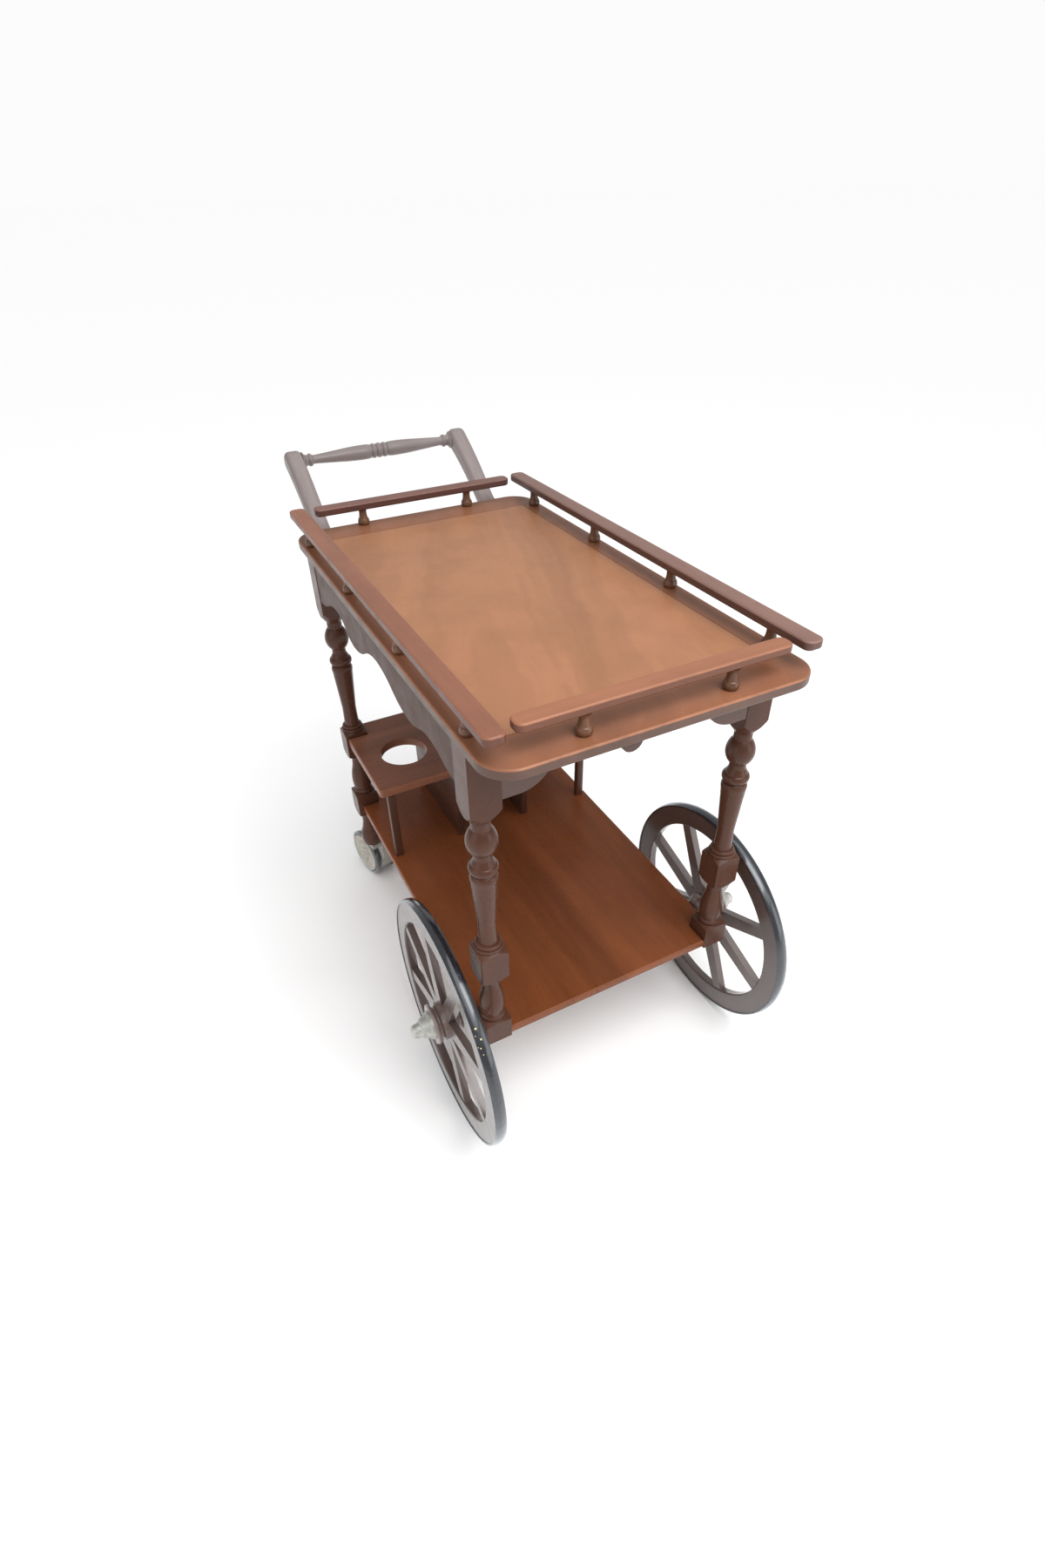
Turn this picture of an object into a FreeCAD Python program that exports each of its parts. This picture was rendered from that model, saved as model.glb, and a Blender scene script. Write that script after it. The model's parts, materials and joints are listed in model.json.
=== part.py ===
import FreeCAD, Part
import math
import os
import re
import Sketcher
from FreeCAD import Placement, Rotation, Vector

# Serving trolley: galleried top, lower shelf with a bottle holder, two large
# spoked wheels at the near end (-Y), two twin-disc casters and a turned handle
# at the far end (+Y). Millimetres, +Z up, origin on the floor under the middle
# of the whole trolley.

# Driving sizes
SIZES = (
    # Top board: height of its upper face, plan, thickness, corners, edge rounding
    ("top_height", 732), ("top_length", 764), ("top_width", 428), ("top_thick", 14),
    ("top_corner", 40), ("top_round", 3), ("top_under_round", 2.5),
    # Fine groove between the top's field and its border
    ("field_side_inset", 32), ("field_end_inset", 60), ("field_line", 1), ("field_line_depth", 0.5),
    # Gallery: rail section, height over the board, places of the rails
    ("gallery_height", 38.6), ("rail_thick", 12), ("side_rail_width", 26),
    ("end_rail_width", 24), ("side_rail_length", 756), ("end_rail_length", 350),
    ("rail_corner", 9), ("rail_round", 2.8), ("gallery_shift", 6), ("rail_edge_gap", 0.5),
    ("near_rail_inset", 17), ("far_rail_inset", 1), ("near_spindle_shift", 4),
    ("spindle_width", 20), ("side_spindle_pitch", 204), ("end_spindle_pitch", 190),
    # Legs: square section and the heights of the square blocks
    ("leg_width", 40), ("leg_side_inset", 3), ("leg_end_inset", 67.6), ("leg_proud", 9),
    ("apron_block", 82), ("rack_block_top", 385), ("rack_block", 40),
    ("shelf_block_top", 245), ("shelf_block", 40), ("far_leg_foot", 118),
    ("leg_arris", 1.5), ("foot_bevel", 4),
    # Aprons under the board
    ("apron_thick", 18), ("apron_setback", 1), ("side_apron_depth", 65),
    ("end_apron_depth", 75), ("glue_block", 34), ("glue_block_height", 24),
    # Lower shelf, with the least width and length of its ears beside the legs
    ("shelf_top", 225.5), ("shelf_thick", 12), ("shelf_width", 404),
    ("shelf_length", 626), ("shelf_round", 3), ("shelf_ear", 31), ("shelf_ear_length", 38.6),
    # Bottle holder: board, holes, dividers and front posts
    ("rack_top", 385), ("rack_thick", 15), ("rack_width", 414), ("rack_depth", 217.4),
    ("rack_corner", 5), ("rack_round", 2.5), ("rack_ear", 36), ("bottle_bore", 82),
    ("bottle_side", 76), ("bottle_back", 124), ("bore_round", 1.5), ("divider_thick", 12),
    ("divider_shift", 1), ("divider_setback", 7), ("divider_back_gap", 4),
    ("post_width", 14), ("post_depth", 11), ("post_inset", 20),
    # Big wheels: radius over the tyre, felloe ring, spokes, hub and cap
    ("wheel_radius", 190), ("tyre_radial", 5), ("tyre_width", 17), ("rim_radial", 32),
    ("rim_thick", 15), ("rim_round", 2.5), ("wheel_clearance", 29.5), ("axle_setback", 63.8),
    ("spoke_inner_width", 26), ("spoke_outer_width", 19), ("spoke_thick", 11),
    ("hub_radius", 29), ("hub_inner", 26), ("hub_outer", 24.5), ("cap_length", 31),
    ("cap_radius", 22), ("cap_wall", 10), ("cap_end_wall", 17), ("spoke_count", 8),
    ("left_spoke_turn", 26), ("right_spoke_turn", 18),
    # Axle under the shelf
    ("axle_radius", 7), ("running_gap", 0.05), ("axle_proud", 31.5), ("beam_depth", 44),
    ("beam_height", 40), ("beam_setback", 5), ("beam_round", 6), ("washer_radius", 15),
    ("side_gap", 0.5), ("nut_radius", 9), ("nut_length", 6),
    # Handle: bar beyond the board's end, arms swept up from under the board
    ("handle_reach", 164), ("handle_rise", 82), ("arm_spacing", 284), ("arm_thick", 30),
    ("arm_depth", 23.5), ("arm_foot", 62), ("arm_sweep", 70), ("arm_rake", 39.6),
    ("arm_head", 18), ("arm_back_radius", 640), ("arm_belly_radius", 507),
    ("arm_round", 9), ("grip_radius", 12.6), ("grip_tenon", 7), ("grip_tenon_length", 14),
    ("arm_screw_head", 4.5), ("arm_screw_shank", 2), ("arm_screw_grip", 10),
    ("arm_screw_end", 14), ("arm_screw_pitch", 34), ("arm_screw_rise", 2.5),
    # Casters: discs, web between them, stem and socket
    ("disc_radius", 50), ("disc_thick", 11), ("disc_gap", 2), ("disc_round", 3),
    ("disc_recess", 2.2), ("disc_rim", 8), ("boss_radius", 12), ("boss_rise", 2.5),
    ("web_thick", 28), ("web_radius", 45), ("trail", 47), ("caster_offset", 25.5),
    ("caster_turn", 13), ("hood_thick", 11), ("hood_reach", 30), ("hood_back", 16),
    ("hood_side", 10), ("stem_radius", 5), ("stem_length", 34), ("socket_wall", 3),
    ("socket_flange", 15), ("flange_thick", 2), ("caster_pin", 4), ("hood_round", 2),
)

# Worked-out places, each from the sizes above or from a place before it
PLACES = (
    ("leg_x", "top_width / 2 - leg_side_inset - leg_width / 2"),
    ("leg_reach", "top_length / 2 - leg_end_inset - leg_width / 2"),
    ("axle_reach_y", "leg_reach - axle_setback"),
    ("near_extent", "axle_reach_y + wheel_radius"),
    ("far_extent", "top_length / 2 + handle_reach + arm_head"),
    ("mid_y", "(near_extent - far_extent) / 2"),
    ("near_leg_y", "mid_y - leg_reach"),
    ("far_leg_y", "mid_y + leg_reach"),
    ("axle_y", "mid_y - axle_reach_y"),
    ("board_under", "top_height - top_thick"),
    ("rail_under", "top_height + gallery_height - rail_thick"),
    ("side_rail_x", "top_width / 2 - rail_edge_gap - side_rail_width / 2"),
    ("side_rail_y", "mid_y + gallery_shift"),
    ("near_rail_y", "mid_y - top_length / 2 + near_rail_inset + end_rail_width / 2"),
    ("far_rail_y", "mid_y + top_length / 2 - far_rail_inset - end_rail_width / 2"),
    ("near_leg_foot", "shelf_block_top - shelf_block"),
    ("clear_x", "leg_x - leg_width / 2"),
    ("clear_y", "leg_reach - leg_width / 2"),
    ("apron_x", "leg_x + leg_width / 2 - apron_setback - apron_thick / 2"),
    ("apron_reach", "leg_reach + leg_width / 2 - apron_setback - apron_thick / 2"),
    ("shelf_under", "shelf_top - shelf_thick"),
    ("shelf_step_x", "min(clear_x, shelf_width / 2 - shelf_ear)"),
    ("shelf_step_y", "min(clear_y, shelf_length / 2 - shelf_ear_length)"),
    ("rack_step_x", "min(clear_x, rack_width / 2 - rack_ear)"),
    ("bottle_pitch", "rack_width / 2 - bottle_side"),
    ("divider_spacing", "bottle_pitch - divider_shift"),
    ("frame_side", "max(leg_x + leg_width / 2, shelf_width / 2 + leg_proud)"),
    ("wheel_plane", "frame_side + wheel_clearance"),
    ("beam_end", "frame_side - beam_setback"),
    ("axle_reach", "wheel_plane + axle_proud"),
    ("rack_under", "rack_top - rack_thick"),
    ("rack_back_y", "far_leg_y + leg_width / 2"),
    ("rack_front_y", "rack_back_y - rack_depth"),
    ("rim_outer", "wheel_radius - tyre_radial"),
    ("rim_inner", "rim_outer - rim_radial"),
    ("bar_y", "mid_y + top_length / 2 + handle_reach"),
    ("bar_z", "board_under + handle_rise"),
    ("washer_thick", "wheel_plane - hub_inner - side_gap - beam_end"),
    ("cap_hollow", "cap_radius - cap_wall"),
    ("cap_bore_depth", "cap_length - cap_end_wall"),
    ("caster_top", "far_leg_foot - flange_thick - side_gap"),
    ("disc_lift", "web_thick / 2 + disc_gap"),
)

# Turned shapes: (share of the height, share of the width) and the edge that
# follows. An end edge is an arc that runs level into the next point's side,
# a start edge is one that leaves this point's side.
LINE, END, START = "line", "level_end", "level_start"
UPPER_LEG_SHARES = (
    (0.000, 0.800, LINE), (0.034, 0.460, END), (0.045, 0.495, START), (0.054, 0.450, LINE),
    (0.056, 0.405, END), (0.066, 0.440, START), (0.077, 0.390, LINE), (0.079, 0.330, END),
    (0.219, 0.305, LINE), (0.509, 0.430, END), (0.536, 0.450, START), (0.567, 0.345, LINE),
    (0.570, 0.390, END), (0.597, 0.475, START), (0.623, 0.390, LINE), (0.658, 0.290, LINE),
    (0.689, 0.290, END), (0.765, 0.500, START), (0.845, 0.310, LINE), (0.890, 0.310, LINE),
    (1.000, 0.800, LINE),
)
LOWER_LEG_SHARES = (
    (0.000, 0.800, LINE), (0.055, 0.400, END), (0.100, 0.450, START), (0.145, 0.380, LINE),
    (0.150, 0.400, END), (0.330, 0.450, START), (0.580, 0.375, END), (0.780, 0.300, START),
    (0.900, 0.370, LINE), (1.000, 0.800, LINE),
)
FOOT_LEG_SHARES = (
    (-0.020, 0.800, LINE), (-0.020, 0.440, LINE), (0.030, 0.455, END), (0.200, 0.505, START),
    (0.410, 0.400, LINE), (0.600, 0.325, END), (0.700, 0.320, START), (0.900, 0.420, LINE),
    (1.000, 0.800, LINE),
)
SPINDLE_SHARES = (
    (0.00, 0.39, END), (0.17, 0.49, START), (0.38, 0.42, LINE), (0.42, 0.37, END),
    (0.76, 0.31, START), (1.00, 0.41, LINE),
)
GRIP_SHARES = (
    (0.000, 1.00, START), (0.030, 0.90, LINE), (0.036, 0.80, LINE), (0.044, 0.80, LINE),
    (0.050, 0.92, END), (0.072, 1.00, START), (0.094, 0.92, LINE), (0.100, 0.82, LINE),
    (0.108, 0.82, LINE), (0.114, 0.92, END), (0.200, 1.00, START), (0.520, 0.84, LINE),
    (0.820, 0.60, END), (0.850, 0.59, START), (0.880, 0.66, LINE), (0.885, 0.78, END),
    (0.905, 0.86, START), (0.925, 0.78, LINE), (0.930, 0.70, START), (0.992, 1.16, LINE),
    (1.000, 1.16, LINE),
)
HUB_SHARES = (
    (0.000, 0.72, LINE), (0.060, 0.80, LINE), (0.150, 0.80, LINE), (0.165, 0.70, END),
    (0.230, 0.66, START), (0.290, 0.80, LINE), (0.330, 1.00, LINE), (0.760, 1.00, LINE),
    (0.790, 0.86, END), (0.840, 0.80, START), (0.880, 0.90, LINE), (0.895, 1.02, END),
    (0.950, 1.06, START), (1.000, 0.98, LINE),
)
CAP_SHARES = (
    (0.00, 1.00, START), (0.12, 0.95, LINE), (0.18, 0.86, LINE), (0.50, 0.66, LINE),
    (0.58, 0.52, END), (0.80, 0.47, START), (0.93, 0.42, LINE), (1.00, 0.28, LINE),
)
# Scalloped lower edges: (share of the half length, share of the depth)
SIDE_WAVE_SHARES = (
    (-1.00, 0.972), (-0.72, 0.746), (-0.46, 0.986), (-0.04, 0.546), (0.35, 1.000),
    (0.62, 0.592), (1.00, 0.972),
)
END_WAVE_SHARES = (
    (-0.88, 1.000), (-0.45, 0.538), (-0.16, 0.660), (0.00, 0.906), (0.16, 0.660),
    (0.45, 0.538), (0.88, 1.000),
)

doc = FreeCAD.newDocument("serving_trolley")
sizes = doc.addObject("Spreadsheet::Sheet", "Sizes")
places = doc.addObject("Spreadsheet::Sheet", "Places")
sheet_of = {}
nodes = []


def bound(text):
    """Expression with each named size or place referred to in its own sheet."""
    def refer(found):
        word = found.group()
        return sheet_of[word] + "." + word if word in sheet_of else word
    return re.sub(r"[a-z][a-z_0-9]*", refer, text)


def value(text):
    """Number that an expression gives now."""
    return float(sizes.evalExpression(bound(text)))


def fill(sheet, rows):
    for row, (alias, content) in enumerate(rows, start=1):
        sheet.set("A%d" % row, alias)
        sheet.set("B%d" % row, str(content))
        sheet.setAlias("B%d" % row, alias)
        sheet_of[alias] = sheet.Name


def bind(thing, **expressions):
    """Bind properties to expressions; double underscores stand for dots."""
    for name, text in expressions.items():
        thing.setExpression(name.replace("__", "."), bound(text))


def place(thing, across="0", along="0", up="0", turn=None):
    """Place a piece; the turn is set first because the bound base keeps it."""
    if turn is not None:
        thing.Placement = Placement(Vector(0, 0, 0), turn)
    bind(thing, Placement__Base__x=across, Placement__Base__y=along, Placement__Base__z=up)


def body(name):
    made = doc.addObject("PartDesign::Body", name)
    made.Label = name
    made.AllowCompound = True
    nodes.append(made)
    return made


def origin_part(owner, role):
    return next(f for f in owner.Origin.OriginFeatures if f.Role == role)


def arc_centre(first, last, way, radius):
    """Centre of the arc between two points, from the way that it runs."""
    (ax, ay), (bx, by) = first, last
    if way in ("level_start", "level_end"):
        px, py, qx, qy = (ax, ay, bx, by) if way == "level_start" else (bx, by, ax, ay)
        return px + ((qx - px) ** 2 + (qy - py) ** 2) / (2 * (qx - px)), py
    if way in ("plumb_start", "plumb_end"):
        px, py, qx, qy = (ax, ay, bx, by) if way == "plumb_start" else (bx, by, ax, ay)
        return px, py + ((qx - px) ** 2 + (qy - py) ** 2) / (2 * (qy - py))
    chord = math.hypot(bx - ax, by - ay)
    rise = math.sqrt(radius * radius - chord * chord / 4)
    side = 1 if way == "round_left" else -1
    return ((ax + bx) / 2 - side * rise * (by - ay) / chord,
            (ay + by) / 2 + side * rise * (bx - ax) / chord)


def add_edge(sketch, first, last, way, radius):
    """Line or arc between two points; returns which of its ends lie at them."""
    if way == LINE:
        sketch.addGeometry(Part.LineSegment(Vector(*first, 0), Vector(*last, 0)), False)
        return 1, 2
    cx, cy = arc_centre(first, last, way, radius)
    begin = math.atan2(first[1] - cy, first[0] - cx)
    finish = math.atan2(last[1] - cy, last[0] - cx)
    circle = Part.Circle(Vector(cx, cy, 0), Vector(0, 0, 1), math.hypot(first[0] - cx, first[1] - cy))
    onward = (finish - begin) % (2 * math.pi) < math.pi
    if onward:
        sketch.addGeometry(Part.ArcOfCircle(circle, begin, finish), False)
        return 1, 2
    sketch.addGeometry(Part.ArcOfCircle(circle, finish, begin), False)
    return 2, 1


def pin_point(sketch, edge, end, across, up):
    """Hold one end of an edge at its bound distances from the sketch's origin."""
    for text, kind, axis in ((across, "DistanceX", -2), (up, "DistanceY", -1)):
        if text == "0":
            sketch.addConstraint(Sketcher.Constraint("PointOnObject", edge, end, axis))
            continue
        made = sketch.addConstraint(Sketcher.Constraint(kind, -1, 1, edge, end, value(text)))
        sketch.setExpression("Constraints[%d]" % made, bound(text))


def add_loop(sketch, corners):
    """Closed outline; each corner is (across, up, way[, radius]) to the next."""
    points = [(value(row[0]), value(row[1])) for row in corners]
    start = sketch.GeometryCount
    count = len(corners)
    ends = []
    for k, row in enumerate(corners):
        radius = value(row[3]) if len(row) > 3 else None
        ends.append(add_edge(sketch, points[k], points[(k + 1) % count], row[2], radius))
    for k, row in enumerate(corners):
        edge = start + k
        follower = start + (k + 1) % count
        first, last = ends[k]
        joined = ends[(k + 1) % count][0]
        sketch.addConstraint(Sketcher.Constraint("Coincident", edge, last, follower, joined))
        pin_point(sketch, edge, first, row[0], row[1])
        if row[2] in ("level_start", "level_end"):
            level = first if row[2] == "level_start" else last
            sketch.addConstraint(Sketcher.Constraint("Horizontal", edge, 3, edge, level))
        elif row[2] in ("plumb_start", "plumb_end"):
            plumb = first if row[2] == "plumb_start" else last
            sketch.addConstraint(Sketcher.Constraint("Vertical", edge, 3, edge, plumb))
        elif row[2] != LINE:
            made = sketch.addConstraint(Sketcher.Constraint("Radius", edge, value(row[3])))
            sketch.setExpression("Constraints[%d]" % made, bound(row[3]))


def add_circle(sketch, across, up, radius):
    centre = Vector(value(across), value(up), 0)
    edge = sketch.addGeometry(Part.Circle(centre, Vector(0, 0, 1), value(radius)), False)
    pin_point(sketch, edge, 3, across, up)
    made = sketch.addConstraint(Sketcher.Constraint("Radius", edge, value(radius)))
    sketch.setExpression("Constraints[%d]" % made, bound(radius))


def sketch_on(owner, role, lift="0"):
    sketch = owner.newObject("Sketcher::SketchObject", owner.Name + "_sketch")
    sketch.AttachmentSupport = [(origin_part(owner, role), "")]
    sketch.MapMode = "FlatFace"
    bind(sketch, AttachmentOffset__Base__z=lift)
    return sketch


def pad(owner, sketch, length, middle=False, reverse=False):
    made = owner.newObject("PartDesign::Pad", owner.Name + "_pad")
    made.Profile = sketch
    made.Midplane = middle
    made.Reversed = reverse
    bind(made, Length=length)
    return made


def revolve(owner, sketch, kind="Revolution"):
    made = owner.newObject("PartDesign::" + kind, owner.Name + "_turned")
    made.Profile = sketch
    made.ReferenceAxis = (sketch, ["V_Axis"])
    made.Angle = 360
    return made


def cut(owner, sketch, length, middle=False, reverse=False):
    """Pocket that must take some of the solid away."""
    doc.recompute()
    before = owner.Shape.Volume
    made = owner.newObject("PartDesign::Pocket", owner.Name + "_pocket")
    made.Profile = sketch
    made.Midplane = middle
    made.Reversed = reverse
    bind(made, Length=length)
    doc.recompute()
    if not owner.Shape.Volume < before:
        raise RuntimeError(owner.Label + ": a pocket cuts nothing")
    return made


def soften(owner, radius, chosen, kind="Fillet"):
    """Round or bevel the chosen edges of the body's last feature."""
    doc.recompute()
    base = owner.Tip
    names = ["Edge%d" % (k + 1) for k, edge in enumerate(base.Shape.Edges) if chosen(edge)]
    made = owner.newObject("PartDesign::" + kind, owner.Name + "_" + kind.lower())
    made.Base = (base, names)
    bind(made, **{"Radius" if kind == "Fillet" else "Size": radius})
    return made


def level_edges(*heights):
    """Edges that lie wholly at one of the bound heights in the body's frame."""
    levels = [value(text) for text in heights]
    slack = value("top_thick") * 1e-6

    def chosen(edge):
        box = edge.BoundBox
        return any(max(abs(box.ZMin - z), abs(box.ZMax - z)) < slack for z in levels)
    return chosen


def rounded(half_x, half_y, corner):
    """Rectangle about the origin with round corners, as loop corners."""
    inner_x, inner_y = "%s - %s" % (half_x, corner), "%s - %s" % (half_y, corner)
    return (
        (inner_x, "-(%s)" % half_y, "plumb_start"), (half_x, "-(%s)" % inner_y, LINE),
        (half_x, inner_y, "level_start"), (inner_x, half_y, LINE),
        ("-(%s)" % inner_x, half_y, "plumb_start"), ("-(%s)" % half_x, inner_y, LINE),
        ("-(%s)" % half_x, "-(%s)" % inner_y, "level_start"),
        ("-(%s)" % inner_x, "-(%s)" % half_y, LINE),
    )


def turned_rows(shares, height, width, base="0"):
    """Loop corners of a turned side, from shares of a height and a width."""
    return [("%s * %g" % (width, across), "%s + %s * %g" % (base, height, up), way)
            for up, across, way in shares]


def board(name, half_x, half_y, corner, thick, upper_round, under_round, base):
    """Flat board or rail with round corners and rounded long edges."""
    made = body(name)
    outline = sketch_on(made, "XY_Plane")
    add_loop(outline, rounded(half_x, half_y, corner))
    pad(made, outline, thick)
    soften(made, upper_round, level_edges(thick))
    if under_round:
        soften(made, under_round, level_edges("0"))
    bind(made, Placement__Base__z=base)
    return made


def screw_places():
    """Centres of the two screws in each arm's foot, seen from the board's middle."""
    across = "(arm_spacing + arm_thick) / 2"
    far = "top_length / 2 - arm_screw_end"
    return [(sign + across, along) for sign in ("-", "")
            for along in (far, far + " - arm_screw_pitch")]


def make_top():
    top = board("top_board", "top_width / 2", "top_length / 2", "top_corner", "top_thick",
                "top_round", "top_under_round", "board_under")
    holes = sketch_on(top, "XY_Plane")
    for across, along in screw_places():
        add_circle(holes, across, along, "arm_screw_shank")
    cut(top, holes, "arm_screw_grip", reverse=True)
    line = sketch_on(top, "XY_Plane", "top_thick - field_line_depth")
    half_x, half_y = "top_width / 2 - field_side_inset", "top_length / 2 - field_end_inset"
    for wide in ("", " + field_line"):
        across, along = "(%s%s)" % (half_x, wide), "(%s%s)" % (half_y, wide)
        add_loop(line, (("-" + across, "-" + along, LINE), (across, "-" + along, LINE),
                        (across, along, LINE), ("-" + across, along, LINE)))
    cut(top, line, "field_line_depth", reverse=True)
    place(top, "0", "mid_y", "board_under")


def make_rail(name, half_x, half_y, across, along):
    rail = board(name, half_x, half_y, "rail_corner", "rail_thick", "rail_round",
                 "rail_round", "rail_under")
    place(rail, across, along, "rail_under")


def make_spindles(name, across, along, pitch, count, axis):
    """A row of turned spindles between the board and one rail."""
    row = body(name)
    side = sketch_on(row, "XZ_Plane")
    height = "(gallery_height - rail_thick)"
    add_loop(side, [("0", "0", LINE)] + turned_rows(SPINDLE_SHARES, height, "spindle_width")
             + [("0", height, LINE)])
    first = revolve(row, side)
    doc.recompute()
    pattern = row.newObject("PartDesign::LinearPattern", name + "_pattern")
    pattern.Originals = [first]
    pattern.Direction = (origin_part(row, axis), [""])
    pattern.Occurrences = count
    bind(pattern, Length="%s * %d" % (pitch, count - 1))
    row.Tip = pattern
    place(row, across, along, "top_height")


def make_gallery():
    side_start = "side_rail_y - side_spindle_pitch * 3 / 2"
    for name, sign in (("left", "-"), ("right", "")):
        make_rail("rail_" + name, "side_rail_width / 2", "side_rail_length / 2",
                  sign + "side_rail_x", "side_rail_y")
        make_spindles("spindles_" + name, sign + "side_rail_x", side_start,
                      "side_spindle_pitch", 4, "Y_Axis")
    for name in ("near", "far"):
        make_rail("rail_" + name, "end_rail_length / 2", "end_rail_width / 2",
                  "0", name + "_rail_y")
    for name, along in (("near", "near_rail_y - near_spindle_shift"), ("far", "far_rail_y")):
        make_spindles("spindles_" + name, "-end_spindle_pitch / 2", along,
                      "end_spindle_pitch", 2, "X_Axis")


def make_leg(name, across, along, foot, is_far):
    """Square post turned between its blocks; its frame stands on the floor."""
    leg = body(name)
    half = "leg_width / 2"
    square = sketch_on(leg, "XY_Plane", foot)
    add_loop(square, (("-" + half, "-" + half, LINE), (half, "-" + half, LINE),
                      (half, half, LINE), ("-" + half, half, LINE)))
    pad(leg, square, "board_under - " + foot)
    if not is_far:
        soften(leg, "foot_bevel", level_edges(foot), "Chamfer")
    longest = value("leg_width") * 1.5
    soften(leg, "leg_arris", lambda edge: edge.BoundBox.ZLength > longest)
    turning = sketch_on(leg, "XZ_Plane")
    stretches = [
        (UPPER_LEG_SHARES, "(board_under - apron_block - rack_block_top)", "rack_block_top"),
        (LOWER_LEG_SHARES, "(rack_block_top - rack_block - shelf_block_top)", "shelf_block_top"),
    ]
    if is_far:
        stretches.append((FOOT_LEG_SHARES, "(near_leg_foot - far_leg_foot)", "far_leg_foot"))
    for shares, height, base in stretches:
        add_loop(turning, turned_rows(shares, height, "leg_width", base))
    revolve(leg, turning, "Groove")
    if is_far:
        bore = sketch_on(leg, "XY_Plane", foot)
        add_circle(bore, "0", "0", "stem_radius + running_gap + socket_wall")
        cut(leg, bore, "stem_length + socket_wall", reverse=True)
    place(leg, across, along)


def make_legs():
    for side, sign in (("left", "-"), ("right", "")):
        make_leg("leg_near_" + side, sign + "leg_x", "near_leg_y", "near_leg_foot", False)
        make_leg("leg_far_" + side, sign + "leg_x", "far_leg_y", "far_leg_foot", True)


def wave_rows(shares, half, depth):
    """Lower edge as curves that run level through each crest and hollow."""
    crests = [(half + " * %g" % along if along else "0", "-%s * %g" % (depth, down))
              for along, down in shares]
    rows = []
    for (x0, z0), (x1, z1) in zip(crests, crests[1:]):
        middle = ("(%s + %s) / 2" % (x0, x1), "(%s + %s) / 2" % (z0, z1))
        rows.append((x0, z0, "plumb_start"))
        rows.append(middle + ("plumb_end",))
    rows.append(crests[-1] + (LINE,))
    return rows


def make_apron(name, shares, half, depth, role, across, along):
    """Board on edge between two legs with a scalloped lower edge."""
    apron = body(name)
    face = sketch_on(apron, role)
    rows = wave_rows(shares, half, depth)
    if shares[-1][0] < 1:
        rows = [("-" + half, rows[0][1], LINE)] + rows + [(half, rows[-1][1], LINE)]
    add_loop(face, rows + [(half, "0", LINE), ("-" + half, "0", LINE)])
    pad(apron, face, "apron_thick", middle=True)
    place(apron, across, along, "board_under")


def make_aprons():
    for side, sign in (("left", "-"), ("right", "")):
        make_apron("apron_" + side, SIDE_WAVE_SHARES, "clear_y", "side_apron_depth",
                   "YZ_Plane", sign + "apron_x", "mid_y")
    for end, sign in (("near", "-"), ("far", "+")):
        make_apron("apron_" + end, END_WAVE_SHARES, "clear_x", "end_apron_depth",
                   "XZ_Plane", "0", "mid_y %s apron_reach" % sign)


def make_glue_blocks():
    """Four three-cornered blocks that tie the aprons to the board."""
    blocks = body("glue_blocks")
    plan = sketch_on(blocks, "XY_Plane", "board_under - glue_block_height")
    face = "(apron_x - apron_thick / 2)"
    for sx in ("-", ""):
        for sy in ("-", ""):
            add_loop(plan, ((sx + face, sy + "(clear_y - glue_block)", LINE),
                            (sx + face, sy + "clear_y", LINE),
                            (sx + "(%s - glue_block)" % face, sy + "clear_y", LINE)))
    pad(blocks, plan, "glue_block_height")
    place(blocks, "0", "mid_y")


def notched_board(name, plan_rows, thick, edge_round, base):
    """Board with rounded upper edges, cut out round the legs' square blocks."""
    made = body(name)
    plan = sketch_on(made, "XY_Plane")
    add_loop(plan, plan_rows)
    pad(made, plan, thick)
    soften(made, edge_round, level_edges(thick))
    place(made, "0", "mid_y", base)
    return made


def make_shelf():
    side, end, inner, stop = "shelf_width / 2", "shelf_length / 2", "shelf_step_x", "shelf_step_y"
    quarter = ((inner, end), (inner, stop), (side, stop))
    rows = [("(%s)" % x, "-(%s)" % y, LINE) for x, y in quarter]
    rows += [("(%s)" % x, "(%s)" % y, LINE) for x, y in reversed(quarter)]
    rows += [("-(%s)" % x, "(%s)" % y, LINE) for x, y in quarter]
    rows += [("-(%s)" % x, "-(%s)" % y, LINE) for x, y in reversed(quarter)]
    notched_board("lower_shelf", rows, "shelf_thick", "shelf_round", "shelf_under")


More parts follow.
